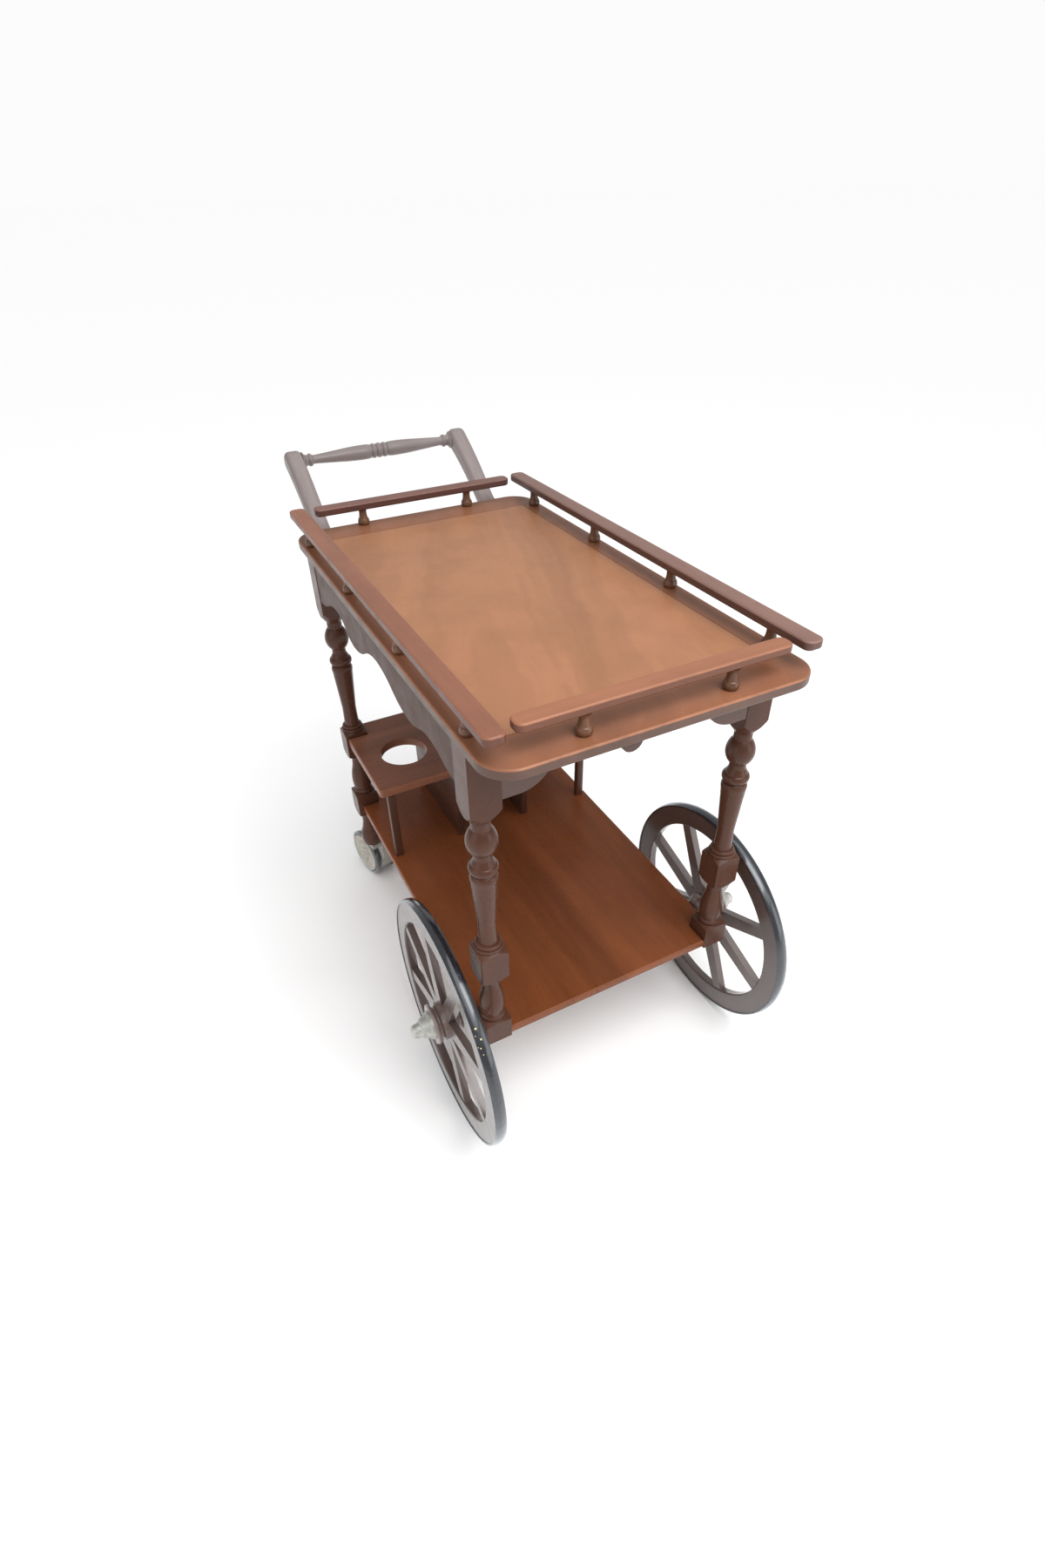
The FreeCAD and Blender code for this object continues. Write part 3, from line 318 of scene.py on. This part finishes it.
def turned(rows, where, count, sharp=0.6):
    """Solid of revolution about Z from (radius, along) rows, closed at its ends."""
    made = bmesh.new()
    rings = []
    for radius, along in rows:
        if radius <= 0:
            rings.append([made.verts.new((0, 0, along))])
            continue
        rings.append([made.verts.new((radius * math.cos(math.tau * k / count),
                                      radius * math.sin(math.tau * k / count), along))
                      for k in range(count)])
    closed = rows[0][0] > 0 and rows[-1][0] > 0
    pairs = list(zip(rings, rings[1:])) + ([(rings[-1], rings[0])] if closed else [])
    for lower, upper in pairs:
        for k in range(count):
            a, b = lower[k % len(lower)], lower[(k + 1) % len(lower)]
            c, d = upper[(k + 1) % len(upper)], upper[k % len(upper)]
            corners = list(dict.fromkeys((a, b, c, d)))
            if len(corners) > 2:
                made.faces.new(corners)
    bmesh.ops.recalc_face_normals(made, faces=made.faces)
    made.transform(where)
    smooth(made, sharp)
    return made


def smooth(made, sharp):
    for face in made.faces:
        face.smooth = True
    for edge in made.edges:
        if len(edge.link_faces) == 2 and edge.calc_face_angle(0) > sharp:
            edge.smooth = False


def rounded_board(low, high, radius, steps=3):
    """Board between two corners with its edges planed round."""
    made = bmesh.new()
    bmesh.ops.create_cube(made, size=1.0)
    size, middle = high - low, (high + low) / 2
    bmesh.ops.scale(made, vec=size, verts=made.verts)
    bmesh.ops.translate(made, vec=middle, verts=made.verts)
    bmesh.ops.bevel(made, geom=list(made.edges), offset=radius, segments=steps, profile=0.5,
                    affect="EDGES", clamp_overlap=True)
    smooth(made, 0.9)
    return made


def flatten_steps(rows, steps=5):
    """Ease the corners of (radius, along) rows into short curves."""
    out = [rows[0]]
    for before, here, after in zip(rows, rows[1:], rows[2:]):
        b, h, a = Vector(before), Vector(here), Vector(after)
        reach = 0.34 * min((h - b).length, (a - h).length)
        start, end = h + (b - h).normalized() * reach, h + (a - h).normalized() * reach
        for k in range(steps + 1):
            t = k / steps
            out.append(tuple(start * (1 - t) ** 2 + h * 2 * t * (1 - t) + end * t * t))
    return out + [rows[-1]]


# ---------------------------------------------------------------- settings

def colour_property(name, text, default):
    return FloatVectorProperty(name=name, description=text, subtype="COLOR", default=default,
                               min=0.0, max=1.0)


class TrolleyWoodSettings(bpy.types.PropertyGroup):
    top: colour_property("Top", "Varnished wood of the top board", (0.35, 0.158, 0.080))
    shelf: colour_property("Shelf", "Red-brown wood of the lower shelf", (0.195, 0.058, 0.020))
    frame: colour_property("Frame", "Dark wood of the legs and aprons", (0.080, 0.032, 0.019))
    rails: colour_property("Rails", "Wood of the gallery rails", (0.24, 0.098, 0.058))
    # partly painted reflection: the handle's colour is greyed to copy the pale haze of reflected
    # room light on the arms and bar
    handle: colour_property("Handle", "Wood of the arms and the bar", (0.27, 0.225, 0.215))
    wheels: colour_property("Wheels", "Dark wood of the wheels", (0.080, 0.055, 0.048))
    band_side: FloatProperty(name="Side border", description="Width of the top's side border",
                             default=0.032, unit="LENGTH", min=0.0)
    band_end: FloatProperty(name="End border", description="Width of the top's end border",
                            default=0.060, unit="LENGTH", min=0.0)
    top_grain: FloatProperty(name="Grain turn", default=math.radians(20), subtype="ANGLE",
                             description="Turn of the top's grain from its length")
    # painted shade: darkens the top board's sides and underside and turns them grey-mauve, as
    # they face away from the light
    edge_painted_shade: colour_property("Edge stain", "Darkening of the top board's sides",
                                (0.30, 0.36, 0.52))
    # the worn edge is also painted as a highlight line
    edge_wear: FloatProperty(name="Edge wear", description="Width of the worn edge of the boards",
                             default=0.003, unit="LENGTH", min=0.0)
    board_round: FloatProperty(name="Board rounding", default=0.0016, unit="LENGTH", min=0.0,
                               description="Edge radius of the bottle holder's small boards")


class TrolleyWheelSettings(bpy.types.PropertyGroup):
    rubber: colour_property("Rubber", "Black of the tyres", (0.014, 0.0145, 0.017))
    brass: colour_property("Brass", "Heads of the tyre tacks", (0.80, 0.66, 0.34))
    steel: colour_property("Steel", "Axle, nuts and screws", (0.48, 0.47, 0.46))
    cap: colour_property("Hub cap", "Dull pale metal of the hub caps", (0.45, 0.45, 0.42))
    tack_head: FloatProperty(name="Tack head", description="Radius of a tack's domed head",
                             default=0.0016, unit="LENGTH", min=0.0)
    crown: FloatProperty(name="Tyre crown", description="Radius of the tread's section",
                         default=0.0157, unit="LENGTH", min=0.001)
    felloes: IntProperty(name="Felloes", description="Pieces that the wooden ring is made of",
                         default=8, min=1)


class TrolleyCasterSettings(bpy.types.PropertyGroup):
    face: colour_property("Face", "Beige grey of the disc faces", (0.50, 0.47, 0.41))
    hood: colour_property("Hood", "Light grey of the hoods", (0.40, 0.385, 0.35))
    tread: colour_property("Tread", "Dark grey of the treads", (0.060, 0.058, 0.052))
    tread_depth: FloatProperty(name="Tread depth", description="Radial thickness of the tread",
                               default=0.006, unit="LENGTH", min=0.0)
    gap: FloatProperty(name="Gap", description="Space between the discs and the box they fill",
                       default=0.0003, unit="LENGTH", min=0.0)


class TrolleyStageSettings(bpy.types.PropertyGroup):
    floor: FloatProperty(name="Floor", description="Width of the floor", default=400.0,
                         unit="LENGTH", min=1.0)
    fill: FloatProperty(name="Room light", description="Strength of the room's even light",
                        default=0.50, min=0.0)
    daylight: FloatProperty(name="Daylight", description="Strength of the soft light from above",
                            default=1.7, min=0.0)
    near: FloatProperty(name="Near lamp", description="Power of the lamp over the near end",
                        default=18.0, min=0.0)
    left: FloatProperty(name="Left lamp", description="Power of the lamp at the left",
                        default=9.0, min=0.0)
    right: FloatProperty(name="Right lamp", description="Power of the low lamp at the right",
                         default=12.0, min=0.0)
    eye: FloatVectorProperty(name="Camera", description="Place of the camera", subtype="XYZ",
                             default=(-0.4506, -0.9995, 1.1812), unit="LENGTH")
    yaw: FloatProperty(name="Heading", description="Camera's turn from the long axis",
                       default=0.461, subtype="ANGLE")
    pitch: FloatProperty(name="Pitch", description="How far the camera looks down",
                         default=0.654, subtype="ANGLE")
    roll: FloatProperty(name="Roll", description="Camera's roll", default=-0.022,
                        subtype="ANGLE")
    lens: FloatProperty(name="Lens", description="Focal length in mm on a 36 mm frame",
                        default=17.89, min=1.0)


# --------------------------------------------------------------- operators

class TROLLEY_OT_top(bpy.types.Operator):
    """Finish the top board with its border band, painted shade on its sides and a worn edge with
    a painted highlight line
    """
    bl_idname = "trolley.top"
    bl_label = "Top board"

    def execute(self, context):
        settings = context.scene.trolley_wood
        low, high, middle = node_box("top_board")
        make = Finish("top_wood")
        where = make.place()
        border, rim, below = board_masks(make, where, middle, (high - low) / 2,
                                         (settings.band_side, settings.band_end),
                                         settings.edge_wear)
        # darker band round the border of the top
        tone_and_painted_shade = make.mix(border, NO_STAIN, BORDER_DARKENING)
        # painted shade on the top board's sides and underside
        tone_and_painted_shade = make.mix(below, tone_and_painted_shade, opaque(settings.edge_painted_shade))
        turned_grain = make.add("VectorRotate", {"Vector": where, "Angle": settings.top_grain},
                                rotation_type="Z_AXIS").outputs[0]
        dress(wood("top_wood", settings.top, "Y", 0.42, 0.34, 0.32, 8.0, finish=make,
                   place=turned_grain, tone=(1.0, tone_and_painted_shade), wear_and_highlight=rim, rings=0.35,
                   pores=0.08, wave=0.030), "top_board")
        return {"FINISHED"}


class TROLLEY_OT_frame(bpy.types.Operator):
    """Finish the legs, the aprons and the corner blocks"""
    bl_idname = "trolley.frame"
    bl_label = "Legs and aprons"

    def execute(self, context):
        colour = context.scene.trolley_wood.frame
        dress(wood("leg_wood", colour, "Z", 0.45, 0.27, 0.22, 10.0, pores=0.08),
              *["leg_%s_%s" % (end, side) for end in ("near", "far") for side in SIDES])
        # painted shade: the side aprons are the frame's colour darkened to 0.75, as they face
        # away from the light
        dress(wood("side_apron_wood_painted_shade", multiplied(colour, 0.75), "Y", 0.6, 0.38, 0.12),
              "apron_left", "apron_right")
        dress(wood("end_apron_wood", colour, "X", 0.6, 0.30, 0.40, coat=0.2), "apron_near",
              "apron_far")
        dress(wood("block_wood", RAW_WOOD, "Z", 0.8, 0.6, 0.2), "glue_blocks")
        dress(wood("beam_wood", colour, "X", 0.8, 0.40, 0.2), "axle_beam")
        return {"FINISHED"}


class TROLLEY_OT_gallery(bpy.types.Operator):
    """Finish the rails, each with its own painted light and shade, and the turned spindles of the
    gallery
    """
    bl_idname = "trolley.gallery"
    bl_label = "Gallery"

    # painted light and shade per rail: the near rail lighter, the far rail darker, the right rail
    # greyer as painted reflection
    LIT_AND_SHADED_RAILS = (("left", "Y", (1.0, 1.0, 1.0)), ("right", "Y", (0.85, 1.15, 1.55)),
              ("near", "X", (1.30, 1.32, 1.20)), ("far", "X", (0.70, 0.80, 1.05)))
    # the spindles are darker than the rails
    SPINDLE_DARKENING = (0.56, 0.60, 0.50)

    def execute(self, context):
        colour = context.scene.trolley_wood.rails
        for place, grain, shares in self.LIT_AND_SHADED_RAILS:
            low, high, middle = node_box("rail_" + place)
            make = Finish("rail_wood_" + place)
            where = make.place()
            # rim: the rails' worn upper edge, also painted as a highlight line
            rim, below = board_masks(make, where, middle, (high - low) / 2, NO_BAND,
                                     RAIL_WEAR)[1:]
            # painted shade: the rails' sides and undersides are darkened against their tops
            dress(wood("rail_wood_" + place, multiplied(colour, *shares), grain, 0.5, 0.34, 0.35,
                       finish=make, place=where, tone=(below, RAIL_SIDE_PAINTED_SHADE), wear_and_highlight=rim),
                  "rail_" + place)
        dress(wood("spindle_wood", multiplied(colour, *self.SPINDLE_DARKENING), "Z", 0.8, 0.30, 0.4),
              *["spindles_" + place for place in ("near", "far", "left", "right")])
        return {"FINISHED"}


class TROLLEY_OT_handle(bpy.types.Operator):
    """Finish the swept arms, the turned bar and the screws under the board"""
    bl_idname = "trolley.handle"
    bl_label = "Handle"

    ARM_SLOPE = math.radians(-32)

    def execute(self, context):
        colour = context.scene.trolley_wood.handle
        make = Finish("arm_wood")
        turn = make.add("VectorRotate", {"Vector": make.place(), "Angle": self.ARM_SLOPE},
                        rotation_type="X_AXIS").outputs[0]
        dress(wood("arm_wood", colour, "Y", 0.8, 0.36, 0.3, place=turn, finish=make),
              "handle_arm_left", "handle_arm_right")
        dress(wood("bar_wood", colour, "X", 0.8, 0.32, 0.4), "handle_grip")
        return {"FINISHED"}


class TROLLEY_OT_shelf(bpy.types.Operator):
    """Finish the lower shelf and the bottle holder's board"""
    bl_idname = "trolley.shelf"
    bl_label = "Shelf and bottle board"

    def execute(self, context):
        settings = context.scene.trolley_wood
        for name, grain, colour in (("lower_shelf", "Y", settings.shelf),
                                    ("rack_board", "X", multiplied(settings.frame, 2.9))):
            low, high, middle = node_box(name)
            make = Finish(name + "_wood")
            where = make.place()
            # rim: the boards' worn upper edge, also painted as a highlight line
            rim = board_masks(make, where, middle, (high - low) / 2, NO_BAND,
                              settings.edge_wear)[1]
            dress(wood(name + "_wood", colour, grain, 0.7, 0.30, 0.20, 6.0, finish=make,
                       place=where, wear_and_highlight=rim), name)
        return {"FINISHED"}


class TROLLEY_OT_bottle_holder(bpy.types.Operator):
    """Build the planed posts and dividers of the bottle holder"""
    bl_idname = "trolley.bottle_holder"
    bl_label = "Bottle holder"

    def execute(self, context):
        settings = context.scene.trolley_wood
        upright = wood("post_wood", settings.frame, "Z", 0.8, 0.36, 0.3)
        flat = wood("divider_wood", settings.frame, "Y", 0.8, 0.38, 0.25)
        for kind, material in (("post", upright), ("divider", flat)):
            for side in SIDES:
                node = "rack_%s_%s" % (kind, side)
                low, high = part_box(node)
                planed = rounded_board(low, high, settings.board_round)
                piece("bottle_%s_%s" % (kind, side), planed, material, "frame",
                      (node,))
        return {"FINISHED"}


class TROLLEY_OT_wheels(bpy.types.Operator):
    """Finish the felloes, spokes, hubs, tyres and the axle, and set the tacks"""
    bl_idname = "trolley.wheels"
    bl_label = "Large wheels"

    # degrees round the tyre, millimetres beside its middle, share of a head's size
    TACKS = ((133.1, -3.0, 1.0), (137.6, -0.6, 0.9), (140.9, -4.4, 0.6), (143.6, -3.5, 0.5),
             (135.7, -6.1, 0.5), (140.3, -7.0, 0.4))
    TACK_SINK = 0.15
    JOINT_LINE = 0.0040

    def execute(self, context):
        colour = context.scene.trolley_wood.wheels
        settings = context.scene.trolley_wheels
        low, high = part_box("tyre_left")
        reach = (high.z - low.z) / 2
        black = rubber("tyre_rubber", settings.rubber)
        steel = metal("axle_steel", settings.steel)
        hub_wood = wood("hub_wood", multiplied(colour, 2.3), "X", 0.6, 0.34, 0.35, coat=0.9)
        for side in SIDES:
            centre = joint_place(side + "_wheel_spin")
            self.finish_ring(side, centre, reach, colour, settings.felloes)
            self.finish_spokes(side, centre, colour)
            dress(hub_wood, "hub_" + side)
            dress(black, "tyre_" + side)
        dress(metal("hub_cap_metal", settings.cap, 0.42, 0.7, 0.45), "hub_cap_left",
              "hub_cap_right")
        dress(steel, "axle_rod", "axle_washers", "axle_nuts", "arm_screws")
        self.set_tacks(joint_place("left_wheel_spin"), reach, settings)
        return {"FINISHED"}

    def finish_ring(self, side, centre, reach, colour, felloes):
        """Bent ring whose grain follows each felloe, with a joint between felloes."""
        make = Finish("felloe_wood_" + side)
        across, turn, radius, run = make.polar(make.place(), centre, reach)
        bent = make.add("CombineXYZ", {0: across, 1: radius, 2: run}).outputs[0]
        share = make.sum("MULTIPLY", turn, felloes / math.tau)
        joint = make.sum("ABSOLUTE", make.sum("SUBTRACT", make.sum("FRACT", share), 0.5))
        line = make.fade(joint, 0.0, self.JOINT_LINE, 1.0, 0.0)
        dress(wood("felloe_wood_" + side, colour, "Z", 0.6, 0.33, 0.4, finish=make, place=bent,
                   coat=0.9, tone=(make.sum("MULTIPLY", line, 0.75), FELLOE_JOINT_STAIN)),
              "wheel_rim_" + side)

    def finish_spokes(self, side, centre, colour):
        make = Finish("spoke_wood_" + side)
        across, _, radius, run = make.polar(make.place(), centre, 0.1)
        radial = make.add("CombineXYZ", {0: across, 1: run, 2: radius}).outputs[0]
        dress(wood("spoke_wood_" + side, multiplied(colour, 1.25), "Z", 0.6, 0.36, 0.35,
                   finish=make, place=radial, coat=0.9), "spokes_" + side)

    def set_tacks(self, centre, reach, settings):
        """Small domed heads in the left tyre, gathered where its ends meet."""
        brass = metal("tack_brass", settings.brass, 0.25, 1.0, 0.2)
        for number, (angle, beside, size) in enumerate(self.TACKS, start=1):
            turn = math.radians(angle)
            out = Vector((0, math.cos(turn), math.sin(turn)))
            head = settings.tack_head * size
            side_step = beside / 1000
            lean = math.sqrt(settings.crown ** 2 - side_step ** 2)
            normal = Vector((side_step, 0, 0)) + out * lean
            seat = centre + out * (reach - settings.crown) + normal
            seat -= normal.normalized() * head * self.TACK_SINK
            rows = [(head * math.sin(k * math.pi / 12), head * 0.5 * math.cos(k * math.pi / 12))
                    for k in range(1, 12)]
            rows = [(0.0, head * 0.5)] + rows + [(0.0, -head * 0.5)]
            head_frame = axis_frame(seat, normal, Vector((1, 0, 0)))
            piece("tyre_tack_%d" % number, turned(rows, head_frame, 16), brass, "wheel_left")


class TROLLEY_OT_casters(bpy.types.Operator):
    """Build the pressed discs with their treads and finish the hoods and stems"""
    bl_idname = "trolley.casters"
    bl_label = "Casters"

    # (share of the radius, share of the depth) of the pressed face, from its middle out
    FACE = ((0.000, 0.74), (0.110, 0.74), (0.125, 0.98), (0.235, 1.00), (0.260, 0.70),
            (0.330, 0.66), (0.480, 0.70), (0.520, 0.82), (0.560, 0.70), (0.800, 0.80),
            (0.840, 0.96), (0.885, 0.96))
    FACE_DEPTH, TREAD_DEPTH, LIP_DEPTH = 0.97, 0.72, 0.80
    TREAD_EDGE, EDGE_SHARE = 0.0024, 0.3

    def execute(self, context):
        settings = context.scene.trolley_casters
        face = metal("caster_face_paint", settings.face, 0.42, 0.35, 0.35)
        hood = metal("caster_hood_paint", settings.hood, 0.45, 0.2, 0.3)
        tread = rubber("caster_tread_rubber", settings.tread)
        pin = metal("caster_pin_steel", PIN_STEEL, 0.28)
        for side in SIDES:
            centre = joint_place(side + "_caster_roll")
            axis = joint_axis(side + "_caster_roll")
            for place in ("outer", "inner"):
                self.build_disc(side, place, centre, axis, settings, face, tread)
            dress(hood, "caster_hood_" + side)
            dress(pin, "caster_pin_" + side, "caster_stem_" + side, "caster_socket_" + side)
        return {"FINISHED"}

    def build_disc(self, side, place, centre, axis, settings, face, tread):
        """One disc: a pressed face in steps and a rounded dark tread round it."""
        node = "caster_disc_%s_%s" % (side, place)
        along = [(v.co - centre).dot(axis) for v in NODES[node].data.vertices]
        outward = axis if sum(along) > 0 else -axis
        near, far = min(abs(a) for a in along), max(abs(a) for a in along)
        low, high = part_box(node)
        radius = (high.z - low.z) / 2
        rim = radius - settings.tread_depth
        thick = far - near
        start = near + settings.gap
        rows = [(0.0, start), (rim, start)]
        rows += [(radius * share, near + thick * depth * self.FACE_DEPTH)
                 for share, depth in reversed(self.FACE) if radius * share < rim]
        frame_at = axis_frame(centre, outward)
        piece("caster_face_%s_%s" % (side, place), turned(flatten_steps(rows), frame_at, 72),
              face, "discs_" + side, (node,))
        edge, cut = self.TREAD_EDGE, self.TREAD_EDGE * self.EDGE_SHARE
        end = near + thick * self.TREAD_DEPTH
        band = [(rim, start), (radius - edge, start), (radius - cut, start + cut),
                (radius, start + edge), (radius, end - edge), (radius - cut, end - cut),
                (radius - edge, end), (rim, near + thick * self.LIP_DEPTH)]
        piece("caster_tread_%s_%s" % (side, place), turned(band, frame_at, 96), tread,
              "discs_" + side, (node,))


class TROLLEY_OT_stage(bpy.types.Operator):
    """Set the pale floor, the soft light and the camera"""
    bl_idname = "trolley.stage"
    bl_label = "Stage"

    def execute(self, context):
        settings = context.scene.trolley_stage
        self.set_floor(settings)
        self.set_room(context, settings)
        self.add_daylight(settings.daylight)
        self.add_lamp("lamp_near", settings.near, *NEAR_LAMP)
        self.add_lamp("lamp_left", settings.left, *LEFT_LAMP)
        self.add_lamp("lamp_right", settings.right, *RIGHT_LAMP)
        self.set_camera(context, settings)
        return {"FINISHED"}

    def set_floor(self, settings):
        made = bmesh.new()
        bmesh.ops.create_grid(made, x_segments=1, y_segments=1, size=settings.floor / 2)
        mesh = bpy.data.meshes.new("floor")
        made.to_mesh(mesh)
        made.free()
        floor = bpy.data.objects.new("floor", mesh)
        bpy.context.scene.collection.objects.link(floor)
        make = Finish("floor_paper")
        speck = make.fade(make.noise(make.place(), 8.0, 2.0), 0.3, 0.7, 0.0, 0.03)
        paper = make.mix(speck, PAPER, PAPER_SPECK)
        make.surface(Base_Color=paper, Roughness=0.9, Specular_IOR_Level=0.1)
        mesh.materials.append(make.material)

    def set_room(self, context, settings):
        """White backdrop and a weaker even light on the trolley."""
        world = bpy.data.worlds.new("room")
        world.use_nodes = True
        tree = world.node_tree
        even = tree.nodes["Background"]
        even.inputs["Color"].default_value = (1.0, 1.0, 1.0, 1)
        even.inputs["Strength"].default_value = settings.fill
        backdrop = tree.nodes.new("ShaderNodeBackground")
        path = tree.nodes.new("ShaderNodeLightPath")
        blend = tree.nodes.new("ShaderNodeMixShader")
        backdrop.inputs["Color"].default_value = BACKDROP
        tree.links.new(path.outputs["Is Camera Ray"], blend.inputs[0])
        tree.links.new(even.outputs[0], blend.inputs[1])
        tree.links.new(backdrop.outputs[0], blend.inputs[2])
        tree.links.new(blend.outputs[0], tree.nodes["World Output"].inputs[0])
        context.scene.world = world
        context.scene.view_settings.view_transform = "Standard"

    def add_daylight(self, strength):
        data = bpy.data.lights.new("daylight", "SUN")
        data.energy = strength
        data.angle = DAYLIGHT_SPREAD
        lamp = bpy.data.objects.new("daylight", data)
        bpy.context.scene.collection.objects.link(lamp)
        lamp.rotation_euler = Vector(DAYLIGHT_TRAVEL).to_track_quat("-Z", "Y").to_euler()

    def add_lamp(self, name, power, size, place, aim):
        data = bpy.data.lights.new(name, "AREA")
        data.shape = "SQUARE"
        data.size = size
        data.energy = power
        lamp = bpy.data.objects.new(name, data)
        bpy.context.scene.collection.objects.link(lamp)
        lamp.location = place
        lamp.rotation_euler = (Vector(aim) - Vector(place)).to_track_quat("-Z", "Y").to_euler()

    def set_camera(self, context, settings):
        yaw, pitch, roll = settings.yaw, settings.pitch, settings.roll
        ahead = Vector((math.sin(yaw) * math.cos(pitch), math.cos(yaw) * math.cos(pitch),
                        -math.sin(pitch)))
        level = Vector((math.cos(yaw), -math.sin(yaw), 0))
        rise = level.cross(ahead)
        right = level * math.cos(roll) + rise * math.sin(roll)
        up = rise * math.cos(roll) - level * math.sin(roll)
        data = bpy.data.cameras.new("camera")
        data.sensor_fit = "VERTICAL"
        data.sensor_height = 36.0
        data.lens = settings.lens
        data.clip_start = 0.01
        camera = bpy.data.objects.new("camera", data)
        bpy.context.scene.collection.objects.link(camera)
        turn = Matrix((right, up, -ahead)).transposed().to_4x4()
        turn.translation = Vector(settings.eye)
        camera.matrix_world = turn
        context.scene.camera = camera


class TROLLEY_PT_panel(bpy.types.Panel):
    """Pieces and settings of the trolley"""
    bl_label = "Serving Trolley"
    bl_idname = "TROLLEY_PT_panel"
    bl_space_type = "VIEW_3D"
    bl_region_type = "UI"
    bl_category = "Trolley"

    def draw(self, context):
        for group in SETTINGS:
            box = self.layout.box()
            held = getattr(context.scene, group)
            for name in SETTINGS[group].__annotations__:
                box.prop(held, name)
        for operator in OPERATORS:
            self.layout.operator(operator.bl_idname)


SETTINGS = {"trolley_wood": TrolleyWoodSettings, "trolley_wheels": TrolleyWheelSettings,
            "trolley_casters": TrolleyCasterSettings, "trolley_stage": TrolleyStageSettings}
OPERATORS = (TROLLEY_OT_stage, TROLLEY_OT_top, TROLLEY_OT_frame, TROLLEY_OT_gallery,
             TROLLEY_OT_handle, TROLLEY_OT_shelf, TROLLEY_OT_bottle_holder, TROLLEY_OT_wheels,
             TROLLEY_OT_casters)
CLASSES = tuple(SETTINGS.values()) + OPERATORS + (TROLLEY_PT_panel,)


def register():
    for made in CLASSES:
        bpy.utils.register_class(made)
    for name, group in SETTINGS.items():
        setattr(bpy.types.Scene, name, PointerProperty(type=group))


def unregister():
    for name in SETTINGS:
        delattr(bpy.types.Scene, name)
    for made in reversed(CLASSES):
        bpy.utils.unregister_class(made)


def main():
    register()
    for operator in OPERATORS:
        group, name = operator.bl_idname.split(".")
        getattr(getattr(bpy.ops, group), name)()


if __name__ == "__main__":
    main()
